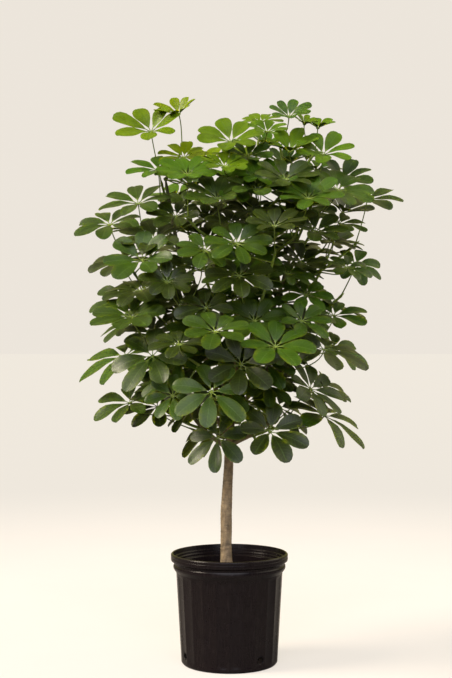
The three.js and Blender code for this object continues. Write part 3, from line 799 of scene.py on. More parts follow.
def rounded(corners: list[Triple], steps: int = 6) -> np.ndarray:
    """An outline with its corners rounded by arcs.

    Each arc touches both sides of its corner, at the radius times the tangent of half the turn from
    it, and its points turn round its centre by equal angles.

    Args:
        corners: Across, up and the corner's radius, in order. The ends have no arc.
        steps: How many steps each arc has.

    Returns:
        The outline's points, one to a row.
    """
    places = np.array([corner[:2] for corner in corners])
    outline = [places[:1]]
    for before, here, after, (_, _, radius) in zip(places, places[1:], places[2:], corners[1:-1]):
        into, out = unit(here - before), unit(after - here)
        turn = math.atan2(into[0] * out[1] - into[1] * out[0], into @ out)
        if radius == 0 or abs(turn) < 0.01:
            outline.append(here[None])
            continue
        start = here - into * radius * math.tan(abs(turn) / 2)
        inward = vec(-into[1], into[0]) * np.sign(turn)
        centre = start + inward * radius
        angles = turn * np.arange(steps + 1) / steps
        spoke = start - centre
        cosine, sine = np.cos(angles)[:, None], np.sin(angles)[:, None]
        outline.append(centre + spoke * cosine + vec(-spoke[1], spoke[0]) * sine)
    outline.append(places[-1:])
    return np.concatenate(outline)


def turned(
    outline: np.ndarray, facets: int, drawn_in: np.ndarray
) -> tuple[np.ndarray, list[np.ndarray]]:
    """A surface of revolution, open at its two ends on the axis, closed there by one face each.

    A point goes to its radius times the sine and minus the cosine of the turn, so turn 0 is in front.

    Args:
        outline: The radius and the height of each ring, from below the axis round to above it.
        facets: How many points each ring has.
        drawn_in: How far each point of each ring is drawn towards the axis.

    Returns:
        The points, in rows of rings, and the faces.
    """
    turn = np.arange(facets) / facets * TAU
    radius = outline[:, :1] - drawn_in
    height = np.broadcast_to(outline[:, 1:], radius.shape)
    points = np.stack([radius * np.sin(turn), -radius * np.cos(turn), height], axis=-1)
    return points, [wrapped_faces(len(outline), facets), end_caps(len(outline), facets)]


@dataclass
class Pot:
    """A ten inch grower's pot: a tapering fluted body, a bead and a rolled lip, with drain holes."""

    height: float = 241
    lip: float = 128.5
    neck: float = 121.7
    bead: float = 123.3
    body_top: float = 116.8
    body_foot: float = 106.3
    foot: float = 102
    wall: float = 1.8
    floor: float = 3
    flutes: int = 24
    flute_depth: float = 1.7
    flutes_fade_low: Pair = (7, 15)  # the heights between which they start
    flutes_fade_high: Pair = (193, 198)  # the heights between which they end
    rib_sharpness: float = 0.75  # how narrow the ridge between two flutes is, less being narrower
    facets: int = 288
    drain_angles: tuple[float, ...] = (-65, 39, 115, 219)
    drain_width: float = 17
    drain_height: float = 15
    drain_level: float = 23

    def inside(self, radius: float) -> float:
        """The radius inside the wall, where the flutes leave it thinnest."""
        return radius - self.wall - self.flute_depth

    def outline(self) -> np.ndarray:
        """The wall's section, from the middle of the foot round the lip to the middle of the floor.

        Returns:
            The radius and the height of each of its points.
        """
        inside_top, inside_foot = self.inside(self.body_top), self.inside(self.body_foot)
        corners = [
            (0.5, 2.2, 0),
            (84, 2.2, 1),
            (88, 0, 1),
            (self.foot, 0, 2.5),
            (self.body_foot - 0.7, 4.5, 4),
            (self.body_top, 200, 2),
            (self.bead - 0.5, 208.5, 1.5),
            (self.bead, 212, 2),
            (self.bead - 0.4, 215, 1.2),
            (self.neck, 217.5, 1.2),
            (self.neck, 221.5, 1.5),
            (self.lip - 0.6, 225.5, 1.5),
            (self.lip, 229, 2),
            (self.lip - 0.1, 232.4, 0.5),
            (self.lip - 0.9, 233.2, 0.5),
            (self.lip - 0.1, 234, 0.5),
            (self.lip, 238.6, 2),
            (self.lip - 2, self.height, 1.4),
            (self.lip - 4.6, self.height, 1.2),
            (self.lip - 6, 231, 1),
            (self.lip - 8, 229.5, 1),
            (self.lip - 8.6, 225, 1),
            (self.lip - 10.4, 223, 1),
            (self.lip - 10.8, 218.5, 1),
            (inside_top + 0.6, 216, 1.2),
            (inside_foot, 14, 8),
            (self.inside(self.foot), self.floor, 6),
            (0.5, self.floor, 0),
        ]
        return self.with_rows(rounded(corners))

    def with_rows(self, outline: np.ndarray) -> np.ndarray:
        """The outline with rows added along the fluted body, so that the flutes can fade at its ends.

        Args:
            outline: The wall's section.

        Returns:
            The section with the added rows.
        """
        lengths = np.linalg.norm(np.diff(outline, axis=0), axis=1)
        at = int(np.argmax(lengths[: np.argmax(outline[:, 1])]))
        low, high = np.linspace(0.01, 0.08, 6), np.linspace(0.92, 0.99, 6)
        shares = np.concatenate([low, np.linspace(0.15, 0.85, 8), high])
        extra = lerp(outline[at], outline[at + 1], shares[:, None])
        return np.concatenate([outline[: at + 1], extra, outline[at + 1 :]])

    def flute(self, outline: np.ndarray) -> tuple[np.ndarray, np.ndarray]:
        """The flutes: shallow scallops between ridges, fading at the body's ends.

        Args:
            outline: The wall's section.

        Returns:
            How far each point is drawn in, and how near it is to a ridge, from 0 to 1.
        """
        turn = np.arange(self.facets) / self.facets * TAU
        from_ridge = np.abs(np.sin(turn * self.flutes / 2))[None, :]
        radius, height = outline[:, 0], outline[:, 1]
        outer = np.arange(len(outline)) < int(np.argmax(outline[:, 1]))
        body = smooth(*self.flutes_fade_low, height) * (1 - smooth(*self.flutes_fade_high, height))
        body = body * outer * (radius > self.foot)
        body = body[:, None]
        return self.flute_depth * from_ridge**self.rib_sharpness * body, (1 - from_ridge) * body

    def drain_cutter(self) -> Piece:
        """The oval plugs that are cut from the wall to make the drain holes.

        Returns:
            The plugs, as one object.
        """
        plugs, sides = Surface(), 24
        for angle in np.radians(self.drain_angles):
            outward = vec(math.sin(angle), -math.cos(angle), 0)
            sideways = vec(math.cos(angle), math.sin(angle), 0)
            turn = np.arange(sides) / sides * TAU
            oval = np.cos(turn)[:, None] * sideways * self.drain_width / 2
            oval = oval + np.sin(turn)[:, None] * UP * self.drain_height / 2
            depths = np.array([self.body_foot + 12, self.body_foot - 14])[:, None, None] * outward
            rings = oval[None] + depths + UP * self.drain_level
            faces = [wrapped_faces(2, sides)[:, ::-1], end_caps(2, sides)[:, ::-1]]
            plugs.add(rings, faces, np.zeros(3), np.zeros(2))
        return plugs.build("drain_plugs", bpy.data.materials.new("drain_plug"))

    def build(self, material: Material) -> Piece:
        """Makes the pot.

        Args:
            material: The moulded plastic.

        Returns:
            The pot's object.
        """
        outline = self.outline()
        drawn_in, ridge = self.flute(outline)
        points, faces = turned(outline, self.facets, drawn_in)
        shell = Surface()
        shell.add(points, faces, ridge[..., None] * vec(1, 0, 0), np.zeros(2))
        pot = shell.build("nursery_pot", material, sharp=50)
        cut_away(pot, self.drain_cutter())
        return dress(pot, Slot.POT, "pot")


def cut_away(piece: Piece, cutter: Piece) -> None:
    """Cuts one object from another and removes the cutter.

    Args:
        piece: The object that is cut. It keeps its material.
        cutter: The closed object that is taken from it.
    """
    modifier = piece.modifiers.new("cut", "BOOLEAN")
    modifier.operation = "DIFFERENCE"
    modifier.solver = "EXACT"
    modifier.object = cutter
    depsgraph = bpy.context.evaluated_depsgraph_get()
    cut = bpy.data.meshes.new_from_object(piece.evaluated_get(depsgraph), depsgraph=depsgraph)
    piece.modifiers.clear()
    material = piece.data.materials[0]
    piece.data = cut
    cut.name = piece.name
    cut.materials.clear()
    cut.materials.append(material)
    bpy.data.objects.remove(cutter)


@dataclass
class PottingMix:
    """The mix that fills the pot to below the bead: crumbly on top, with chips of bark in it."""

    pot: Pot
    gap: float = 0.3  # between the mix and the wall
    corner_cut: float = 4.5  # clear of the wall's rounded inner corner
    level: float = 198
    unevenness: float = 2.5
    facets: int = 240
    rings: int = 64
    chips: int = 260
    chip_reach: float = 104  # how far from the pot's axis a chip lies at most
    chip_lengths: Pair = (3.0, 7.5)
    chip_widths: Pair = (0.35, 0.8)  # as shares of the length
    chip_half_thickness: float = 0.9
    crumb: float = 0.9
    hollow: float = 15  # how far the mix falls back behind a drain hole
    hollow_core: float = 8  # within this distance of the hole's middle it is at its deepest
    hollow_reach: float = 14  # and beyond this one there is none

    def top(self, x: np.ndarray, y: np.ndarray) -> np.ndarray:
        """The height of the mix: a low heap, two slow waves, and crumbs from waves of many directions.

        Args:
            x: How far across each point is.
            y: How far back it is.

        Returns:
            The height at each point.
        """
        radius = np.hypot(x, y)
        heap = np.interp(radius, [0, 70, self.pot.inside(self.pot.body_top)], [2, 0, -4])
        slow = self.unevenness * (np.sin(x / 17) + np.cos(y / 13 + 1))
        crumbs = np.zeros_like(x)
        for wave in range(14):
            direction = TAU * draw(wave, Trait.SWAY_ACROSS)
            pitch = lerp(2.2, 7.0, draw(wave, Trait.SIZE))
            along = (x * math.cos(direction) + y * math.sin(direction)) / pitch
            crumbs += np.sin(along + 9 * draw(wave, Trait.OFFSET)) * np.cos(along * 0.7 + radius / 9)
        return self.level + heap + slow + self.crumb * crumbs / 3

    def fallen_back(self, side: np.ndarray) -> np.ndarray:
        """How far the mix has fallen back behind each drain hole: a round hollow about the hole's middle.

        Args:
            side: The radius and the height of each ring of the mix's side.

        Returns:
            The depth of the hollow at each point of each ring.
        """
        turn = np.arange(self.facets) / self.facets * TAU
        around = (turn[:, None] - np.radians(self.pot.drain_angles) + math.pi) % TAU - math.pi
        across = np.abs(around).min(axis=1) * side[:, :1]
        away = np.hypot(across, side[:, 1:] - self.pot.drain_level)
        return self.hollow * (1 - smooth(self.hollow_core, self.hollow_reach, away))

    def chip_parts(self, surface: Surface) -> None:
        """Adds the chips: flat six-sided flakes, turned and tilted at random, half sunk in the mix.

        Args:
            surface: The mix, which the chips are added to.
        """
        number = np.arange(self.chips)
        reach = self.chip_reach * np.sqrt(draw(number, Trait.SIZE))
        turn = TAU * draw(number, Trait.FIRST_TURN)
        x, y = reach * np.sin(turn), -reach * np.cos(turn)
        middle = np.stack([x, y, self.top(x, y) + 0.6], axis=-1)
        lean, tip = draw_around(1.0, number, Trait.SWAY_ACROSS), draw_around(1.0, number, Trait.SWAY_BACK)
        normal = unit(np.stack([lean, tip, np.ones(self.chips)], axis=-1))
        long_way = unit(np.cross(normal, np.stack([np.cos(9 * turn), np.sin(9 * turn), 0 * turn], axis=-1)))
        side = np.cross(normal, long_way)
        length_of = lerp(*self.chip_lengths, draw(number, Trait.RISE) ** 2)[:, None, None, None]
        width_of = length_of * lerp(*self.chip_widths, draw(number, Trait.COUNT))[:, None, None, None]
        corner = np.arange(6) / 6 * TAU
        ring = np.cos(corner)[:, None] * long_way[:, None, None] * length_of
        ring = ring + np.sin(corner)[:, None] * side[:, None, None] * width_of
        depth = np.array([-1, 1])[:, None, None] * self.chip_half_thickness * normal[:, None, None]
        points = middle[:, None, None] + ring * np.array([1.0, 0.85])[:, None, None] + depth
        starts = (np.arange(self.chips) * 12)[:, None, None]
        faces = [wrapped_faces(2, 6) + starts, end_caps(2, 6) + starts]
        surface.add(points, faces, vec(1, 0, 0), np.zeros(2))

    def build(self, trunk_radius: float, trunk_place: np.ndarray, material: Material) -> Piece:
        """Makes the mix, with its top closed up to the trunk's bark.

        Args:
            trunk_radius: The trunk's radius where it stands in the mix.
            trunk_place: The trunk's middle there.
            material: The finish.

        Returns:
            The mix's object.
        """
        pot = self.pot
        foot = vec(pot.inside(pot.foot) - 2 * self.gap, pot.floor + self.gap)
        heel = vec(pot.inside(pot.body_foot) - 2 * self.gap, 14 + self.gap)
        brim = vec(pot.inside(pot.body_top) - 3 * self.gap, self.level - 8)
        heights = np.arange(16, 40, 2)
        rows = np.stack([np.interp(heights, [heel[1], brim[1]], [heel[0], brim[0]]), heights], axis=-1)
        into_foot = foot - vec(self.corner_cut, 0)
        above_foot = foot + self.corner_cut * unit(heel - foot)
        side = np.stack([vec(0.5, foot[1]), into_foot, above_foot, heel, *rows, brim])
        turn = np.arange(self.facets) / self.facets * TAU
        radius = np.linspace(side[-1, 0], trunk_radius - 1, self.rings)[:, None]
        towards = 1 - (radius - radius[-1]) / (radius[0] - radius[-1])
        x = radius * np.sin(turn) + towards * trunk_place[0]
        y = -radius * np.cos(turn) + towards * trunk_place[1]
        top = np.stack([x, y, self.top(x, y)], axis=-1)
        below, _ = turned(side, self.facets, self.fallen_back(side))
        points = np.concatenate([below, top])
        surface = Surface()
        faces = [wrapped_faces(len(points), self.facets), end_caps(len(points), self.facets)]
        surface.add(points, faces, np.zeros(3), np.zeros(2))
        self.chip_parts(surface)
        return dress(surface.build("crumbly_potting_mix", material), Slot.MIX, "potting_mix")


# The wood


TRUNK = np.array(
    [
        [-7, 0, 110, 13.4],
        [-7, 0, 205, 13.2],
        [-7, 0, 245, 12.8],
        [-6, 0, 355, 12],
        [-3, 0, 405, 11.2],
        [-1, 0, 456, 9.9],
        [4, -2, 540, 9],
        [12, 3, 640, 7.6],
        [15, 6, 740, 6],
    ],
    float,
)

# Each limb: the height at which it leaves the trunk, and where it ends
LIMBS = [
    (520, (-140, -15, 1060)),
    (495, (-125, 0, 750)),
    (470, (-95, 10, 560)),
    (735, (45, -10, 1040)),
    (650, (-40, -60, 925)),
    (600, (150, -15, 955)),
    (545, (135, -25, 755)),
    (480, (105, -20, 545)),
    (505, (-20, -110, 655)),
    (570, (60, -115, 770)),
    (560, (15, 120, 790)),
    (610, (-85, 110, 860)),
    (630, (105, 105, 905)),
]


@dataclass
class Wood:
    """The trunk, with its rings and scars, and the limbs, each with a collar where it leaves the trunk."""

    buried: float = 118
    limb_radius: float = 5.6
    limb_end_radius: float = 3.6
    bend_out: float = 0.6
    bend_up: float = 0.35
    trunk_sides: int = 48
    limb_sides: int = 14
    limb_steps: int = 44
    ring_spacing: float = 9.0
    ring_width: float = 1.1
    ring_tilt: float = 1.4
    flare: float = 1.6  # the trunk's swelling where it enters the mix
    flare_height: float = 196
    flare_spread: float = 26
    limb_collar: float = 2.2
    scar_height: float = 0.45

    def trunk_at(self, height: float | np.ndarray) -> np.ndarray:
        """The trunk's middle at a height, on the straight stretches between its points."""
        return np.stack([np.interp(height, TRUNK[:, 2], TRUNK[:, axis]) for axis in range(3)], axis=-1)

    def limb_curves(self) -> list[Bezier]:
        """Each limb leaves the trunk low and outwards, and turns up towards its end.

        Returns:
            The limbs' middle lines.
        """
        curves = []
        for height, end in LIMBS:
            start = self.trunk_at(height)
            bend = start + vec(self.bend_out, self.bend_out, self.bend_up) * (vec(*end) - start)
            curves.append(Bezier(np.stack([start, bend, vec(*end)])))
        return curves

    def trunk(self, surface: Surface) -> None:
        """Adds the trunk: a tube whose radius swells at each ring and wanders a little round it.

        Args:
            surface: The wood, which the trunk is added to.
        """
        stretches = [(110, 238, 30), (240, 470, 190), (472, 740, 90)]
        height = np.concatenate([np.linspace(*stretch) for stretch in stretches])
        across, back = (smooth_line(height, TRUNK[:, 2], TRUNK[:, axis]) for axis in range(2))
        line = np.stack([across, back, height], axis=-1)
        radius = smooth_line(height, TRUNK[:, 2], TRUNK[:, 3])
        turn = np.arange(self.trunk_sides) / self.trunk_sides * TAU
        tilt = self.ring_tilt * np.sin(turn[None] + height[:, None] / 31)
        nearest = (height[:, None] + tilt) / self.ring_spacing
        ring = bump((nearest - np.round(nearest)) * self.ring_spacing, 0, self.ring_width)
        strength = 0.15 + 0.35 * draw(np.round(nearest), Trait.SIZE)
        wander = 0.35 * np.sin(2 * turn[None] + height[:, None] / 23)
        wander = wander + 0.25 * np.sin(5 * turn[None] - height[:, None] / 11)
        flare = self.flare * bump(height, self.flare_height, self.flare_spread)
        radii = radius[:, None] - 0.25 + ring * strength + wander + flare[:, None]
        radii[-3:] *= np.array([0.92, 0.72, 0.35])[:, None]
        points, faces = tube(line, radii, self.trunk_sides)
        young = smooth(560, 760, height)[:, None, None] * vec(0.6, 0, 0)
        surface.add(points, faces, young, np.zeros(2))

    def limb(self, surface: Surface, curve: Bezier, number: int) -> None:
        """Adds a limb: it tapers from its collar to its end, with small swellings where leaves once stood.

        Args:
            surface: The wood, which the limb is added to.
            curve: The limb's middle line.
            number: Which limb it is.
        """
        share = np.linspace(0, 1, self.limb_steps + 1)
        line = curve.at(share)
        along = share * length(curve.controls[2] - curve.controls[0])
        radius = lerp(self.limb_radius, self.limb_end_radius, share) - 0.1
        scars = self.scar_height * np.abs(np.sin(along / 8.5 + 5 * draw(number, Trait.OFFSET))) ** 6
        collar = self.limb_collar * np.exp(-along / 14)
        radii = radius + scars + collar
        radii[-1] *= 0.45
        points, faces = tube(line, radii, self.limb_sides)
        young = lerp(0.25, 1.0, share)[:, None, None] * vec(1, 0, 0)
        surface.add(points, faces, young, np.zeros(2))

    def build(self, material: Material) -> Piece:
        """Makes the trunk and the limbs as one piece.

        Args:
            material: The bark.

        Returns:
            The object.
        """
        surface = Surface()
        self.trunk(surface)
        for number, curve in enumerate(self.limb_curves()):
            self.limb(surface, curve, number)
        return dress(surface.build("bark_trunk_and_limbs", material), Slot.BARK, "trunk_and_limbs")


def smooth_line(at: np.ndarray, knots: np.ndarray, values: np.ndarray) -> np.ndarray:
    """A smooth curve through values, of cubics that take each knot's slope from its neighbours.

    Args:
        at: Where the curve is read.
        knots: Where the values are, in rising order.
        values: The values.

    Returns:
        The curve's value at each place.
    """
    slopes = np.gradient(values, knots)
    here = np.clip(np.searchsorted(knots, at, side="right") - 1, 0, len(knots) - 2)
    step = knots[here + 1] - knots[here]
    t = np.clip((at - knots[here]) / step, 0, 1)
    rise = values[here + 1] - values[here]
    return (
        values[here]
        + rise * t * t * (3 - 2 * t)
        + step * slopes[here] * t * (1 - t) ** 2
        - step * slopes[here + 1] * t * t * (1 - t)
    )


# The plant's growth


@dataclass
class StemRow:
    """A leafy stem that shows from the front.

    Its leaves that show each have a hub, across, back and up, the length of their leaflets, and where
    it is plain to see, the way they face and their leaflets' rise in degrees. The leading leaf is
    first. More leaves stand on the stem below them.
    """

    leaves: list[tuple[float, ...]]
    more: int


FRONT_STEMS = [
    StemRow([(-172, -10, 1165, 96, -0.1, -0.65, 0.76, 30)], 0),
    StemRow([(-112, 20, 1209, 64, -0.25, -0.5, 0.83, 36)], 0),
    StemRow([(-155, -30, 1077, 76, -0.1, -0.5, 0.86, 24)], 0),
    StemRow([(-89, -120, 1057, 80, 0, -0.5, 0.86, 28)], 1),
    StemRow([(-198, -40, 1004, 90, -0.1, -0.5, 0.86, 22), (-115, -60, 975, 66)], 1),
    StemRow([(-263, 0, 962, 84, -0.15, -0.5, 0.85, 18), (-160, -70, 925, 86, -0.1, -0.5, 0.86, 24)], 1),
    StemRow([(-239, 30, 884, 80, -0.2, -0.4, 0.89, 14)], 1),
    StemRow([(-193, -60, 814, 92, -0.2, -0.35, 0.91, 18)], 1),
    StemRow([(-129, -170, 829, 64, 0.1, -0.72, 0.69, 22)], 1),
    StemRow([(-207, -120, 757, 94, -0.15, -0.5, 0.85, 24)], 1),
    StemRow([(-231, 20, 673, 108, -0.35, -0.4, 0.85, 12)], 1),
    StemRow([(-103, -210, 699, 66, 0, -0.5, 0.86, 20)], 1),
    StemRow([(-217, -20, 571, 86, -0.3, -0.45, 0.84, 18)], 0),
    StemRow([(-159, 30, 560, 80, -0.1, -0.55, 0.83, 16)], 0),
    StemRow([(3, -60, 1135, 86, 0, -0.6, 0.8, 28)], 0),
    StemRow([(70, 10, 1190, 54, 0, -0.4, 0.92, 20)], 2),
    StemRow([(130, -20, 1196, 62, 0, -0.6, 0.8, 34)], 2),
    StemRow([(198, 50, 1183, 46), (166, 20, 1187, 36)], 1),
    StemRow([(202, -60, 1107, 84, 0.05, -0.6, 0.8, 30), (130, -45, 1115, 82)], 2),
    StemRow([(244, -40, 1054, 80, 0.05, -0.55, 0.83, 30)], 2),
    StemRow([(303, 0, 1017, 84, 0.1, -0.45, 0.88, 22)], 1),
    StemRow([(162, -180, 1000, 82, 0, -0.6, 0.8, 28), (180, -140, 935, 76)], 0),
    StemRow([(91, -220, 939, 74, 0, -0.5, 0.86, 30), (15, -205, 905, 80)], 0),
    StemRow([(239, -50, 960, 66, 0.3, -0.35, 0.88, 22), (222, 10, 925, 56, 0.3, -0.35, 0.88, 20)], 1),
    StemRow([(281, 30, 876, 66, 0.2, -0.7, 0.68, 14)], 1),
    StemRow([(162, -80, 805, 66, 0.1, -0.6, 0.79, 18)], 1),
    StemRow([(231, 10, 762, 78, 0.15, -0.5, 0.85, 20)], 2),
    StemRow([(201, -100, 688, 96, 0.2, -0.4, 0.89, 14)], 1),
    StemRow([(92, -230, 695, 92, 0.05, -0.6, 0.8, 24)], 1),
    StemRow([(-29, -240, 725, 80, 0, -0.55, 0.83, 24)], 1),
    StemRow([(-37, -220, 603, 86, 0.05, -0.85, 0.52, 14)], 1),
    StemRow([(207, -20, 543, 104, 0.45, -0.3, 0.84, 10), (176, -40, 602, 80)], 0),
    StemRow([(85, -130, 516, 84, 0.2, -0.72, 0.66, 22)], 1),
    StemRow([(-38, 92, 508, 84)], 1),
    StemRow([(-50, -200, 891, 70, 0.1, -0.6, 0.79, 20)], 1),
    StemRow([(-26, -150, 1003, 84)], 2),
    StemRow([(116, -140, 1044, 84), (58, -140, 1023, 80)], 0),
    StemRow([(20, -190, 840, 82, 0, -0.65, 0.76, 18)], 1),
    StemRow([(-115, -60, 635, 84)], 1),
    StemRow([(-25, -80, 500, 74, -0.3, -0.85, 0.5, 12)], 1),
]


@dataclass
class Leaf:
    """A leaf: its hub, its place on its stem, and once it is posed, its directions and its stalk.

    The way it faces and its leaflets' rise are given, or else left empty.
    """

    item: int
    owner: str
    size: float
    fixed: bool
    hub: np.ndarray
    node: np.ndarray = field(default_factory=lambda: np.zeros(3))
    toward: tuple[float, ...] = ()
    normal: np.ndarray = field(default_factory=lambda: np.zeros(3))
    main: np.ndarray = field(default_factory=lambda: np.zeros(3))
    aside: np.ndarray = field(default_factory=lambda: np.zeros(3))
    rise: float = 0.0
    sag: float = 0.0
    count: int = 0
    offset: float = 0.0
    stalk: Bezier | None = None


@dataclass
class Stem:
    """A leafy stem: its curve from the limb to its tip, its leaves from the tip down, and shaded ones."""

    curve: Bezier
    leaves: list[Leaf]
    inner: list[Leaf] = field(default_factory=list)


@dataclass
class Room:
    """What wood, stems and stalks take up: points along them, each with its reach and its owner."""

    spare: float = 2.6
    points: np.ndarray = field(default_factory=lambda: np.zeros((0, 3)))
    reach: np.ndarray = field(default_factory=lambda: np.zeros(0))
    owners: np.ndarray = field(default_factory=lambda: np.zeros(0, dtype="U16"))

    def take(self, points: np.ndarray, radius: float, owner: str) -> None:
        """Marks points as taken.

        Args:
            points: Points along what is placed.
            radius: Its radius.
            owner: Whose it is.
        """
        self.points = np.concatenate([self.points, points])
        self.reach = np.concatenate([self.reach, np.full(len(points), radius + self.spare)])
        self.owners = np.concatenate([self.owners, np.full(len(points), owner, dtype="U16")])

    def clearance(self, points: np.ndarray, radius: float, owners: list[str]) -> float:
        """How far points stay clear of all that isn't their owner's or their support's.

        Args:
            points: Points along a curve.
            radius: The radius of what is to grow there.
            owners: Whose points don't count.

        Returns:
            The least distance that is left, below zero where the curve would touch something.
        """
        others = ~np.isin(self.owners, owners)
        apart = np.linalg.norm(points[:, None] - self.points[others][None], axis=-1)
        return float((apart - self.reach[others] - radius).min())


@dataclass
class Growth:
    """Grows the plant on its wood: first the leafy stems, then the leaves, then their stalks."""

    wood: Wood
    room: Room = field(default_factory=Room)
    place_steps: int = 9  # along each limb, where a leafy stem may spring
    first_place: int = 3
    climb: float = 25
    stalk_share: float = 1.2  # a leaf stalk's length, as a share of its leaflets'
    stalk_most: float = 0.7  # the same, as a share of the hub's distance from the crown's axis
    internode: float = 17
    spread: float = math.radians(62)
    trunk_takes: float = 9  # the room that wood keeps clear round its middle line
    limb_takes: float = 5.4
    stem_radius: float = 3.4
    stem_end_radius: float = 2.6
    stem_sink: float = 0.1
    stalk_radius: float = 1.7
    stalk_sink: float = 0.05
    stalk_reach: float = 0.45
    samples: int = 30
    bends: tuple[float, ...] = (0.12, 0.24, 0.36)
    bend_ways: int = 6
    focus_across: float = 5
    focus_low: float = 480
    focus_climb: float = 0.35
    focus_sideways: float = 0.65
    sway: float = 0.45
    light_at_foot: float = 0.15
    light_added: float = 0.1
    foliage_foot: float = 520
    foliage_height: float = 600
    crown_across: float = 18
    crown_lean: float = 0.08
    crown_middle: float = 850
    crown_half_height: float = 400
    crown_hubs_within: float = 0.74
    crown_half_width: float = 245
    crown_half_depth: float = 230
    shy_distance: float = 100
    shy_of_wood: float = 34
    shy_rounds: int = 14
    shy_share: float = 0.45
    turn_up: float = 0.6
    turn_to_front: float = 0.5
    hang: float = 0.8
    leaflets_rise: float = 14
    rise_gained: float = 18
    rise_spread: float = 14
    fewest: int = 7
    eighths: float = 1.6
    turn_spread: float = 0.5
    size_spread: float = 0.16
    sag: float = 0.38
    sag_lost: float = 0.006  # for each degree that the leaflets rise
    inner_tries: int = 150
    inner_lowest: float = 600
    inner_highest: float = 1120
    inner_from: float = 0.2  # of the way from the crown's axis to its outline
    inner_to: float = 0.72
    inner_apart: float = 48
    inner_reach: float = 170
    inner_size: float = 66

    def height_share(self, hub: np.ndarray) -> float:
        """How high a leaf is in the crown, from 0 to 1."""
        return float(np.clip((hub[2] - self.foliage_foot) / self.foliage_height, 0, 1))

    def stalk_way(self, leaf: Leaf) -> np.ndarray:
        """Which way a leaf's stalk runs: away from a point on the axis below it, a little to the front.

        Args:
            leaf: The leaf.

        Returns:
            The direction.
        """
        hub, item = leaf.hub, leaf.item
        low = self.focus_low
        focus = vec(self.focus_across, 0, low + self.focus_climb * (hub[2] - low))
        traits = np.array([Trait.SWAY_ACROSS, Trait.SWAY_BACK, Trait.SWAY_UP])
        way = unit((hub - focus) * vec(self.focus_sideways, 1, 1))
        to_light = self.light_at_foot + self.light_added * self.height_share(hub)
        return unit(way + draw_around(self.sway, item, traits) + vec(0, -to_light, 0))

    def facing(self, leaf: Leaf) -> np.ndarray:
        """Which way a leaf faces: more up and to the front than its stalk's way, unless it is given.

        Args:
            leaf: The leaf.

        Returns:
            The direction.
        """
        if leaf.toward:
            return unit(vec(*leaf.toward[:3]))
        return unit(self.stalk_way(leaf) + vec(0, -self.turn_to_front, self.turn_up))

    def crown_share(self, height: float) -> float:
        """The crown's narrowing at a height, from 1 at its middle."""
        away = abs(height - self.crown_middle) / self.crown_half_height
        return math.sqrt(1 - min(0.98, away) ** 3)

    def crown_axis(self, height: float) -> float:
        """How far across the crown's middle is at a height."""
        return self.crown_across + self.crown_lean * (height - self.crown_middle)

    def keep_in_crown(self, hub: np.ndarray) -> None:
        """Brings a hub that is past the crown's outline back to it.

        Args:
            hub: The hub, which is changed.
        """
        share, middle = self.crown_share(hub[2]), self.crown_axis(hub[2])
        x = (hub[0] - middle) / (self.crown_half_width * share)
        y = hub[1] / (self.crown_half_depth * share)
        reach = math.hypot(x, y)
        if reach > 1:
            hub[:2] = middle + (hub[0] - middle) / reach, hub[1] / reach
        most = self.crown_hubs_within * self.crown_half_height
        hub[2] = np.clip(hub[2], self.crown_middle - most, self.crown_middle + most)

    def back_stems(self) -> list[StemRow]:
        """The stems at the back, which climb round it by the golden angle.

        Returns:
            One row for each stem.
        """
        count, lowest, highest, first_turn, half_spread = 14, 560, 1140, 141, 85
        rows = []
        for number in range(count):
            height = lerp(lowest, highest, (number + 0.5) / count)
            turn = math.radians((number * GOLDEN_TURN + first_turn) % (2 * half_spread) - half_spread)
            share = self.crown_share(height)
            across = self.crown_axis(height) + self.crown_half_width * share * math.sin(turn)
            back = self.crown_half_depth * share * math.cos(turn)
            rows.append(StemRow([(across, back, height, 86 - 12 * draw(number, Trait.BACK_SIZE))], 2))
        return rows

    def clear_curve(self, controls: np.ndarray, bent: int, radius: float, owners: list[str]) -> Bezier:
        """Bends a curve aside, if it must, until it is clear of all that grows already.

        The bend moves one control point in one of six directions across the curve, by growing shares
        of the curve's length. The first bend that is clear is taken, or else the clearest.

        Args:
            controls: The curve's control points, unbent.
            bent: Which of them moves.
            radius: The radius of what grows along the curve.
            owners: Whose points don't count.

        Returns:
            The curve, whose points are then taken by its owner, the first of the owners.
        """
        way = controls[-1] - controls[0]
        side, other = square_to(unit(way))
        turns = np.arange(self.bend_ways) / self.bend_ways * TAU
        offsets = [np.zeros(3)]
        for share in self.bends:
            reach = share * length(way)
            offsets += [reach * (side * math.cos(turn) + other * math.sin(turn)) for turn in turns]
        best, best_clear = None, -math.inf
        for offset in offsets:
            moved = controls.copy()
            moved[bent] += offset
            curve = Bezier(moved)
            clear = self.room.clearance(curve.samples(self.samples), radius, owners)
            if clear > best_clear:
                best, best_clear = curve, clear
            if clear > 0:
                break
        self.room.take(best.samples(self.samples), radius, owners[0])
        return best

    def grow_stem(self, row: StemRow, index: int, places: list[list]) -> Stem:
        """Grows a leafy stem from the free place on a limb that it climbs from most directly.

        Args:
            row: The stem's leaves.
            index: The stem's number, from 0.
            places: For each place on a limb, its point, its limb, and whether it is taken.

        Returns:
            The stem, with its leaves' nodes and first hubs.
        """
        owner = f"stem {index}"
        leaves = [
            Leaf(10 * index + k, owner, size, True, vec(x, y, z), toward=tuple(toward))
            for k, (x, y, z, size, *toward) in enumerate(row.leaves)
        ]
        lead = leaves[0]
        from_axis = length(lead.hub - vec(self.focus_across, 0, lead.hub[2]))
        stalk = min(self.stalk_share * lead.size, self.stalk_most * from_axis)
        tip = lead.hub - stalk * self.stalk_way(lead)

        def cost(place: list) -> float:
            """How indirect the climb from a place would be."""
            point, _, taken = place
            return math.inf if taken else length(point - tip) + 2 * max(0, point[2] + self.climb - tip[2])

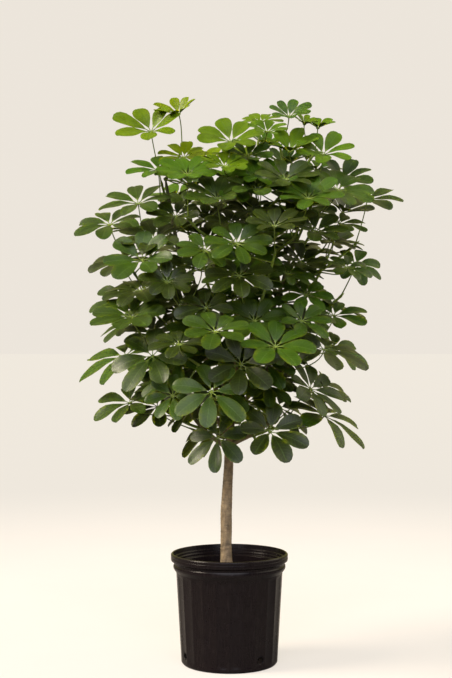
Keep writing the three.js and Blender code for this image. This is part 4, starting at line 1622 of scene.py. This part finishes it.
        place = min(places, key=cost)
        place[2] = True
        root, limb, _ = place
        climb = length(tip - root)
        middle = (root + tip) / 2 - UP * self.stem_sink * climb
        curve = self.clear_curve(np.stack([root, middle, tip]), 1, self.stem_radius, [owner, f"limb {limb}"])
        side, other = square_to(curve.end_direction())
        for k in range(len(leaves), len(leaves) + row.more):
            turn = math.radians(GOLDEN_TURN * k + 360 * draw(lead.item, Trait.FIRST_TURN))
            size = lead.size * (1 + draw_around(self.size_spread, lead.item + k, Trait.SIZE))
            way = curve.end_direction() * math.cos(self.spread)
            way = way + math.sin(self.spread) * (side * math.cos(turn) + other * math.sin(turn))
            leaves.append(Leaf(lead.item + k, owner, size, False, way * self.stalk_share * size))
        for k, leaf in enumerate(leaves):
            leaf.node = curve.at(1 - min(0.9, self.internode * k / climb))
            if not leaf.fixed:
                leaf.hub = leaf.hub + leaf.node
        return Stem(curve, leaves)

    def spread_leaves(self, leaves: list[Leaf]) -> None:
        """Moves later leaves apart and off the wood until each has light. The leading ones stay.

        In each round a hub is pushed from every other hub that is nearer than a set distance, by a
        share of what is missing, and from the nearest wood by all of it.

        Args:
            leaves: All the leaves, whose hubs are changed.
        """
        free = [leaf for leaf in leaves if not leaf.fixed]
        for _ in range(self.shy_rounds):
            hubs = np.stack([leaf.hub for leaf in leaves])
            mine = np.stack([leaf.hub for leaf in free])
            apart = mine[:, None] - hubs[None]
            distance = np.linalg.norm(apart, axis=-1)
            same = distance == 0
            push = np.maximum(0, self.shy_distance - distance) / np.where(same, 1, distance)
            push[same] = 0
            moves = self.shy_share * (apart * push[..., None]).sum(axis=1)
            to_wood = mine[:, None] - self.room.points[None]
            far = np.linalg.norm(to_wood, axis=-1)
            nearest = far.argmin(axis=1)
            rows = np.arange(len(free))
            near = far[rows, nearest]
            moves += to_wood[rows, nearest] * (np.maximum(0, self.shy_of_wood - near) / near)[:, None]
            for leaf, move in zip(free, moves):
                leaf.hub = leaf.hub + move
                self.keep_in_crown(leaf.hub)

    def pose(self, leaf: Leaf) -> None:
        """Gives a leaf its directions: where it faces, and where its largest leaflet points.

        Args:
            leaf: The leaf, which is changed.
        """
        leaf.normal = self.facing(leaf)
        pull = unit(vec(leaf.hub[0] - self.focus_across, leaf.hub[1], 0)) - self.hang * UP
        leaf.main = unit(pull - leaf.normal * (pull @ leaf.normal))
        leaf.aside = np.cross(leaf.normal, leaf.main)
        rise = self.leaflets_rise + self.rise_gained * self.height_share(leaf.hub)
        rise = leaf.toward[3] if leaf.toward else rise + draw_around(self.rise_spread, leaf.item, Trait.RISE)
        leaf.rise = math.radians(rise)
        leaf.sag = self.sag - self.sag_lost * rise
        leaf.count = self.fewest + int(self.eighths * draw(leaf.item, Trait.COUNT))
        leaf.offset = float(draw_around(self.turn_spread, leaf.item, Trait.OFFSET))

    def grow_stalk(self, leaf: Leaf) -> None:
        """Grows a leaf's stalk from its node on the stem. It meets the hub square to the leaf.

        Args:
            leaf: The leaf, which gets the stalk.
        """
        lower = lerp(leaf.node, leaf.hub, 0.3) - UP * self.stalk_sink * leaf.size
        upper = leaf.hub - leaf.normal * self.stalk_reach * leaf.size
        controls = np.stack([leaf.node, lower, upper, leaf.hub])
        leaf.stalk = self.clear_curve(controls, 1, self.stalk_radius, [leaf.owner])

    def grow_inner(self, stems: list[Stem]) -> None:
        """Grows the shaded leaves that fill the crown between those that show.

        Their hubs climb round the crown's axis by the golden angle, at a drawn share of the way out.
        One that would crowd another hub is left out. Each springs from the stem that is nearest to it
        and not above it.

        Args:
            stems: The stems, which get the leaves.
        """
        hubs = [leaf.hub for stem in stems for leaf in stem.leaves]
        lines = np.stack([stem.curve.samples(self.samples) for stem in stems])
        for number in range(self.inner_tries):
            height = lerp(self.inner_lowest, self.inner_highest, (number + 0.5) / self.inner_tries)
            turn = math.radians(number * GOLDEN_TURN)
            way_out = math.sqrt(draw(number, Trait.INNER_REACH))
            reach = self.crown_share(height) * lerp(self.inner_from, self.inner_to, way_out)
            across = self.crown_axis(height) + self.crown_half_width * reach * math.sin(turn)
            hub = vec(across, -self.crown_half_depth * reach * math.cos(turn), height)
            if min(length(hub - other) for other in hubs) < self.inner_apart:
                continue
            far = np.linalg.norm(lines - hub, axis=2)
            far = far + 2 * np.maximum(0, lines[..., 2] + 10 - height)
            nearest, step = np.unravel_index(far.argmin(), far.shape)
            if not 30 < far[nearest, step] < self.inner_reach:
                continue
            size = self.inner_size * (1 + draw_around(self.size_spread, number, Trait.BACK_SIZE))
            leaf = Leaf(1000 + number, f"stem {nearest}", size, False, hub, lines[nearest, step])
            self.pose(leaf)
            self.grow_stalk(leaf)
            stems[nearest].inner.append(leaf)
            hubs.append(hub)

    def grow(self) -> list[Stem]:
        """Grows the whole plant.

        Returns:
            The leafy stems, the front ones first.
        """
        trunk = self.wood.trunk_at(lerp(self.wood.buried, TRUNK[-1, 2], np.arange(80) / 79))
        self.room.take(trunk, self.trunk_takes, "trunk")
        limbs = self.wood.limb_curves()
        for number, curve in enumerate(limbs):
            self.room.take(curve.samples(60), self.limb_takes, f"limb {number}")
        places = [
            [point, number, False]
            for number, curve in enumerate(limbs)
            for point in curve.samples(self.place_steps)[self.first_place :]
        ]
        rows = FRONT_STEMS + self.back_stems()
        stems = [self.grow_stem(row, index, places) for index, row in enumerate(rows)]
        leaves = [leaf for stem in stems for leaf in stem.leaves]
        self.spread_leaves(leaves)
        for leaf in leaves:
            self.pose(leaf)
        for leaf in leaves:
            self.grow_stalk(leaf)
        self.grow_inner(stems)
        return stems


# Leaves, stalks and stems


@dataclass
class LeafletForm:
    """A leaflet: a short bare stalk, then a blade that is widest past its middle and round at its tip."""

    widest: float = 0.22  # half the width, as a share of the length
    blade_from: float = 0.14
    blade_to: float = 1.01
    swell: float = 0.95  # how the blade widens from its base
    tip: float = 0.5  # how it closes at its tip
    fold: float = 0.34
    curl: float = 0.18
    half_thickness: float = 0.35
    rib: float = 1.05
    rib_end: float = 0.3
    least: float = 0.86
    size_spread: float = 0.16
    turn_spread: float = 0.16
    sag_spread: float = 0.12
    sag_across: float = 0.55
    roll_spread: float = math.radians(26)
    width_spread: float = 0.16
    wave: float = 0.02
    rows: tuple[float, ...] = (0.02, 0.14, 0.25, 0.41, 0.57, 0.72, 0.86, 0.95, 1.0)
    top: tuple[float, ...] = (1, 0.5, 0, -0.5, -1)
    under: tuple[float, ...] = (-0.5, 0, 0.5)

    def half_width(self, along: np.ndarray) -> np.ndarray:
        """Half the blade's width as a share of the length.

        With s the share of the blade, it is s to the power swell times 1 - s to the power tip,
        brought to a greatest value of the leaflet's half width.

        Args:
            along: Shares of the leaflet's length.

        Returns:
            Half the width at each of them.
        """
        s = np.clip((along - self.blade_from) / (self.blade_to - self.blade_from), 0, 1)
        peak = self.swell / (self.swell + self.tip)
        greatest = peak**self.swell * (1 - peak) ** self.tip
        return self.widest * (s**self.swell * (1 - s) ** self.tip) / greatest

    def points(self, leaf: Leaf) -> tuple[np.ndarray, np.ndarray, np.ndarray]:
        """The surface of all of a leaf's leaflets.

        The midrib runs out from the hub in the leaflet's direction, rises by the leaf's rise and sags
        by the square of the share of its length. At each row the section is a closed ring: the upper
        face from edge to edge, then the underside back, with the two halves folded up from the rib.

        Args:
            leaf: The leaf.

        Returns:
            The points by leaflet, row and place round the ring, and each point's growth and place.
        """
        number = np.arange(leaf.count)
        astray = draw_around(self.turn_spread, leaf.item, Trait.LEAFLET_TURN + number)
        turn = TAU * (number + leaf.offset + astray)
        turn = turn / leaf.count
        near = (1 + np.cos(turn)) / 2
        size = leaf.size * lerp(self.least, 1, near)
        size = size * (1 + draw_around(self.size_spread, leaf.item, Trait.LEAFLET_LENGTH + number))
        out = np.cos(turn)[:, None] * leaf.main + np.sin(turn)[:, None] * leaf.aside
        sag = leaf.sag + draw_around(self.sag_spread, leaf.item, Trait.LEAFLET_SAG + number)
        sagging = self.sag_across * leaf.normal + (1 - self.sag_across) * UP
        t = np.array(self.rows)[None, :, None]
        outward = out * math.cos(leaf.rise) + leaf.normal * math.sin(leaf.rise)
        line = outward[:, None] * t - sagging * sag[:, None, None] * t * t
        middle = leaf.hub + line * size[:, None, None]
        along = unit(outward[:, None] - 2 * sagging * sag[:, None, None] * t)
        left = unit(np.cross(leaf.normal, along))
        above = np.cross(along, left)
        roll = draw_around(self.roll_spread, leaf.item, Trait.LEAFLET_ROLL + number)[:, None, None] * t
        left, above = left * np.cos(roll) + above * np.sin(roll), above * np.cos(roll) - left * np.sin(roll)

        across = np.array(self.top + self.under)
        side = np.array([1.0] * len(self.top) + [-1.0] * len(self.under))
        side[[0, len(self.top) - 1]] = 0
        broad = 1 + draw_around(self.width_spread, leaf.item, Trait.LEAFLET_WIDTH + number)
        length_of = size[:, None, None]
        rib = lerp(self.rib, self.rib_end, t)
        blade = self.half_width(t) * broad[:, None, None] * length_of
        half = np.sqrt(rib**2 + blade**2)
        flat = np.clip(blade / (4 * rib), 0, 1)
        rod = rib * np.sqrt(1 - across**2) * side
        ridge = bump(across * half, 0, 1.4 * rib)
        skin = self.half_thickness * np.sqrt(1 - np.abs(across) ** 3)
        leaf_skin = np.where(side > 0, skin - 0.35 * rib * ridge, -skin - 0.9 * rib * ridge) * np.abs(side)
        lift = blade * (self.fold * np.abs(across) - self.curl * across**2)
        phase = TAU * draw(leaf.item, Trait.LEAFLET_WAVE + number)[:, None, None]
        ripple = np.sin(7.5 * t + phase + np.sign(across) * 0.8) * across**2
        lift = lift + self.wave * length_of * ripple * smooth(0.2, 0.5, t)
        height = lift + lerp(rod, leaf_skin, flat)
        points = middle[:, :, None] + left[:, :, None] * (across * half)[..., None]
        points = points + above[:, :, None] * height[..., None]

        ones = np.ones_like(height)
        stalkness = 1 - smooth(self.blade_from - 0.04, self.blade_from + 0.08, t)
        growth = np.stack([0 * ones, stalkness * ones, (side < 0) * ones], axis=-1)
        places = np.stack([t * ones, across * ones], axis=-1)
        return points, growth, places


@dataclass
class Foliage:
    """The green parts: each leafy stem with its leaf stalks, hubs and leaflets is one piece."""

    growth: Growth
    leaflet: LeafletForm = field(default_factory=LeafletForm)
    stem_sides: int = 12
    stem_steps: int = 26
    root_swelling: float = 1.6
    root_spread: float = 7
    node_swelling: float = 0.7
    node_spread: float = 3.5
    bud_reach: Triple = (4.0, 8.5, 12.5)
    bud_radii: Triple = (2.3, 1.5, 0.3)
    stalk_sides: int = 6
    stalk_steps: int = 10
    stalk_radii: Pair = (1.5, 1.15)
    sheath: float = 1.0
    sheath_spread: float = 5
    swelling: float = 0.5
    swelling_spread: float = 4
    hub_radius: float = 4.6
    hub_sides: int = 9
    young_and_lit_heights: Pair = (960, 1200)  # the heights between which leaves turn yellow-green: young growth, and painted light at the crown's top
    shaded_across: Pair = (-60, 120)  # the places across between which the light from the left fades
    lost_in_shade: float = 0.55
    usual_youth: float = 0.1
    youth_spread: float = 0.5

    def youth_and_light(self, leaf: Leaf) -> float:
        """How young a leaf looks, with painted light: the brighter yellow-green is painted on leaves at the
        top of the crown's lit left, and comes by chance elsewhere.

        Args:
            leaf: The leaf.

        Returns:
            From 0, deep green, to 1, yellow-green.
        """
        # painted light: leaves high in the crown and on its lit left get the brighter yellow-green
        high = smooth(*self.young_and_lit_heights, leaf.hub[2])
        in_light = 1 - self.lost_in_shade * smooth(*self.shaded_across, leaf.hub[0])
        chance = self.usual_youth + draw_around(self.youth_spread, leaf.item, Trait.YOUTH)
        return float(np.clip(high * in_light + chance, 0, 1))

    def stem(self, surface: Surface, stem: Stem) -> None:
        """Adds a stem: it tapers to its tip, swells at each leaf's node, and ends in a pointed bud.

        Args:
            surface: The piece.
            stem: The stem.
        """
        share = np.linspace(0, 1, self.stem_steps + 1)
        line = stem.curve.at(share)
        along = share * length(stem.curve.controls[2] - stem.curve.controls[0])
        radii = lerp(self.growth.stem_radius, self.growth.stem_end_radius, share)
        radii = radii + self.root_swelling * np.exp(-along / self.root_spread)
        for leaf in stem.leaves:
            away = np.linalg.norm(line - leaf.node, axis=1)
            radii = radii + self.node_swelling * bump(away, 0, self.node_spread)
        bud = line[-1] + stem.curve.end_direction() * np.array(self.bud_reach)[:, None]
        line = np.concatenate([line, bud])
        radii = np.concatenate([radii, self.bud_radii])
        points, faces = tube(line, radii, self.stem_sides)
        young = np.concatenate([lerp(0.0, 0.7, share), [0.9, 1.0, 1.0]])[:, None, None]
        stalk = np.concatenate([lerp(0.55, 1.0, share), [1.0, 1.0, 1.0]])[:, None, None]
        surface.add(points, faces, young * vec(1, 0, 0) + stalk * vec(0, 1, 0), vec(0, 1))

    def stalk(self, surface: Surface, leaf: Leaf, youth_and_light: float) -> None:
        """Adds a leaf's stalk: thin, with a sheath at its foot and a slight swelling under the hub.

        Args:
            surface: The piece.
            leaf: The leaf.
            youth_and_light: How young it looks, with the painted light of the crown's top and lit left.
        """
        share = np.linspace(0, 0.985, self.stalk_steps + 1)
        line = leaf.stalk.at(share)
        reach = length(leaf.hub - leaf.node)
        sheath = self.sheath * np.exp(-share * reach / self.sheath_spread)
        swelling = self.swelling * np.exp((share - 1) * reach / self.swelling_spread)
        radii = lerp(*self.stalk_radii, share) + sheath + swelling
        points, faces = tube(line, radii, self.stalk_sides)
        surface.add(points, faces, vec(youth_and_light, 1, 0), vec(0, 1))

    def hub(self, surface: Surface, leaf: Leaf, youth_and_light: float) -> None:
        """Adds the hub: a low round boss that the leaflets spring from, turned about the leaf's normal.

        Args:
            surface: The piece.
            leaf: The leaf.
            youth_and_light: How young it looks, with the painted light of the crown's top and lit left.
        """
        section = np.array([[0.4, -2.6], [0.5, -1.9], [0.95, -0.6], [1.0, 0.2], [0.75, 1.0], [0.3, 1.35]])
        turn = np.arange(self.hub_sides) / self.hub_sides * TAU
        spoke = np.cos(turn)[:, None] * leaf.main + np.sin(turn)[:, None] * leaf.aside
        points = leaf.hub + section[:, :1, None] * self.hub_radius * spoke
        points = points + section[:, 1:, None] * leaf.normal
        faces = [wrapped_faces(len(section), self.hub_sides), end_caps(len(section), self.hub_sides)]
        surface.add(points, faces, vec(youth_and_light, 1, 0), vec(0, 1))

    def leaflets(self, surface: Surface, leaf: Leaf, youth_and_light: float) -> None:
        """Adds a leaf's leaflets.

        Args:
            surface: The piece.
            leaf: The leaf.
            youth_and_light: How young it looks, with the painted light of the crown's top and lit left.
        """
        points, growth, places = self.leaflet.points(leaf)
        _, rows, around, _ = points.shape
        growth = growth + vec(youth_and_light, 0, 0)
        starts = (np.arange(leaf.count) * rows * around)[:, None, None]
        faces = [wrapped_faces(rows, around) + starts, end_caps(rows, around) + starts]
        surface.add(points, faces, growth, places)

    def build(self, material: Material) -> list[Piece]:
        """Makes all the leafy stems.

        Args:
            material: The leaf finish.

        Returns:
            One object for each stem.
        """
        pieces = []
        for number, stem in enumerate(self.growth.grow(), start=1):
            surface = Surface()
            self.stem(surface, stem)
            for leaf in stem.leaves + stem.inner:
                youth_and_light = self.youth_and_light(leaf)
                self.stalk(surface, leaf, youth_and_light)
                self.hub(surface, leaf, youth_and_light)
                self.leaflets(surface, leaf, youth_and_light)
            piece = surface.build(f"foliage_{number:02d}", material)
            pieces.append(dress(piece, Slot.LEAF, f"leafy_stem_{number:02d}"))
        return pieces


# The studio


@dataclass
class Studio:
    """A plain pale floor, soft lights and the camera."""

    camera_across: float = -7.5
    camera_distance: float = 2884
    camera_height: float = 711
    frame_height: float = 678  # in pixels
    scale: float = 2.2  # millimetres to a pixel at the pot's axis
    sensor: float = 36
    floor_radius: float = 60.0
    backdrop: Triple = (0.84, 0.785, 0.71)
    light_front: Triple = (0.70, 0.76, 0.84)
    light_behind: Triple = (0.90, 0.84, 0.30)
    glow_behind: float = 0.50
    glow_front: float = 0.14
    window_toward: Triple = (0.0, -0.80, 0.60)
    window_light: Triple = (0.88, 0.88, 0.96)
    window_glow: float = 3.2
    window_from: float = 40  # degrees from its middle, where it starts to show
    window_full: float = 18  # degrees from its middle, where it is at its brightest

    def camera(self) -> None:
        """Sets the camera level, in front of the pot, with the lens that gives the picture's scale."""
        data = bpy.data.cameras.new("camera")
        data.sensor_width = self.sensor
        data.lens = self.sensor * self.camera_distance / (self.scale * self.frame_height)
        camera = bpy.data.objects.new("camera", data)
        camera.location = vec(self.camera_across, -self.camera_distance, self.camera_height) * MM
        camera.rotation_euler = (math.radians(90), 0, 0)
        bpy.context.scene.collection.objects.link(camera)
        bpy.context.scene.camera = camera
        bpy.context.scene.view_settings.view_transform = "Standard"

    def floor(self, material: Material) -> None:
        """Lays the floor: a disc of rings that widen outwards, just under the pot's foot.

        Args:
            material: The floor's finish.
        """
        rows, sides, below = 12, 64, 0.2
        turn = np.arange(sides) / sides * TAU
        radius = np.geomspace(0.2, self.floor_radius, rows)[:, None] / MM
        level = np.full((rows, sides), -below)
        rings = np.stack([radius * np.cos(turn), radius * np.sin(turn), level], axis=-1)
        surface = Surface()
        faces = [wrapped_faces(rows, sides)[:, ::-1], np.arange(sides)[None]]
        surface.add(rings, faces, np.zeros(3), np.zeros(2))
        floor = surface.build("studio_floor", material)

    def light(self, name: str, place: Triple, size: float, strength: float, warmth: float) -> None:
        """Hangs a soft light far away that shines on the plant.

        Args:
            name: The light's name.
            place: The direction that it shines from.
            size: How wide it looks from the plant, in degrees.
            strength: How strongly it lights what faces it.
            warmth: From 0, white, to 1, the colour of afternoon sun.
        """
        data = bpy.data.lights.new(name, "SUN")
        data.angle = math.radians(size)
        data.energy = strength
        data.color = (1.0, 1.0 - 0.12 * warmth, 1.0 - 0.3 * warmth)
        light = bpy.data.objects.new(name, data)
        light.location = place
        aim = -vec(*place)
        yaw, pitch = math.atan2(-aim[0], aim[1]), math.atan2(math.hypot(aim[0], aim[1]), -aim[2])
        light.rotation_euler = (pitch, 0, yaw)
        bpy.context.scene.collection.objects.link(light)

    def lights(self) -> None:
        """Lights the plant from above on the left, and more weakly from above on the right."""
        self.light("window_left", (-2.6, -0.6, 2.5), 26, 4.3, 1.0)
        self.light("window_right", (2.4, 0.3, 1.8), 60, 1.1, 1.0)

    def surroundings(self) -> None:
        """Sets the world: a plain backdrop to look at, and light that comes mostly from behind.

        The light goes from the front's colour and glow to those behind with the direction's Y. A large
        soft window over the camera shows in what is glossy.
        """
        world = bpy.data.worlds.new("studio")
        world.use_nodes = True
        tree = world.node_tree
        direction = add_node(tree, "ShaderNodeTexCoord").outputs["Generated"]
        backward = add_node(tree, "ShaderNodeSeparateXYZ", {"Vector": direction}).outputs["Y"]
        ramp = {"Value": backward, "From Min": -0.3, "From Max": 0.9}
        behind = add_node(tree, "ShaderNodeMapRange", ramp, interpolation_type="SMOOTHSTEP").outputs[0]
        glow = calculate(tree, "MULTIPLY_ADD", behind, self.glow_behind - self.glow_front, self.glow_front)
        toward = unit(vec(*self.window_toward))
        inputs = {0: direction, 1: toward}
        nearness = add_node(tree, "ShaderNodeVectorMath", inputs, operation="DOT_PRODUCT").outputs["Value"]
        ramp = {
            "Value": nearness,
            "From Min": math.cos(math.radians(self.window_from)),
            "From Max": math.cos(math.radians(self.window_full)),
        }
        pane = add_node(tree, "ShaderNodeMapRange", ramp, interpolation_type="SMOOTHSTEP").outputs[0]
        glow = calculate(tree, "MULTIPLY_ADD", pane, self.window_glow, glow)
        seen = add_node(tree, "ShaderNodeLightPath").outputs["Is Camera Ray"]
        strength = add_node(tree, "ShaderNodeMix", {0: seen, 2: glow, 3: 1.0}).outputs[0]
        background = tree.nodes["Background"]
        colour = mix_colours(tree, behind, self.light_front, self.light_behind)
        colour = mix_colours(tree, pane, colour, self.window_light)
        tree.links.new(mix_colours(tree, seen, colour, self.backdrop), background.inputs["Color"])
        tree.links.new(strength, background.inputs["Strength"])
        bpy.context.scene.world = world


def write_sizes() -> None:
    """Brings the view layer up to date.
    """
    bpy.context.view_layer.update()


def main() -> None:
    """Builds the studio and every piece in order."""
    logging.basicConfig(level=logging.INFO, format="%(message)s")
    studio = Studio()
    studio.camera()
    studio.lights()
    studio.surroundings()
    effects = Effects.make()
    studio.floor(FloorFinish(studio.backdrop).build(effects))
    pot = Pot()
    pot.build(PotFinish().build(effects))
    wood = Wood()
    wood.build(BarkFinish().build(effects))
    mix = PottingMix(pot)
    mix.build(TRUNK[1, 3], wood.trunk_at(mix.level), MixFinish().build(effects))
    Foliage(Growth(wood)).build(LeafFinish().build(effects))
    write_sizes()


if __name__ == "__main__":
    main()
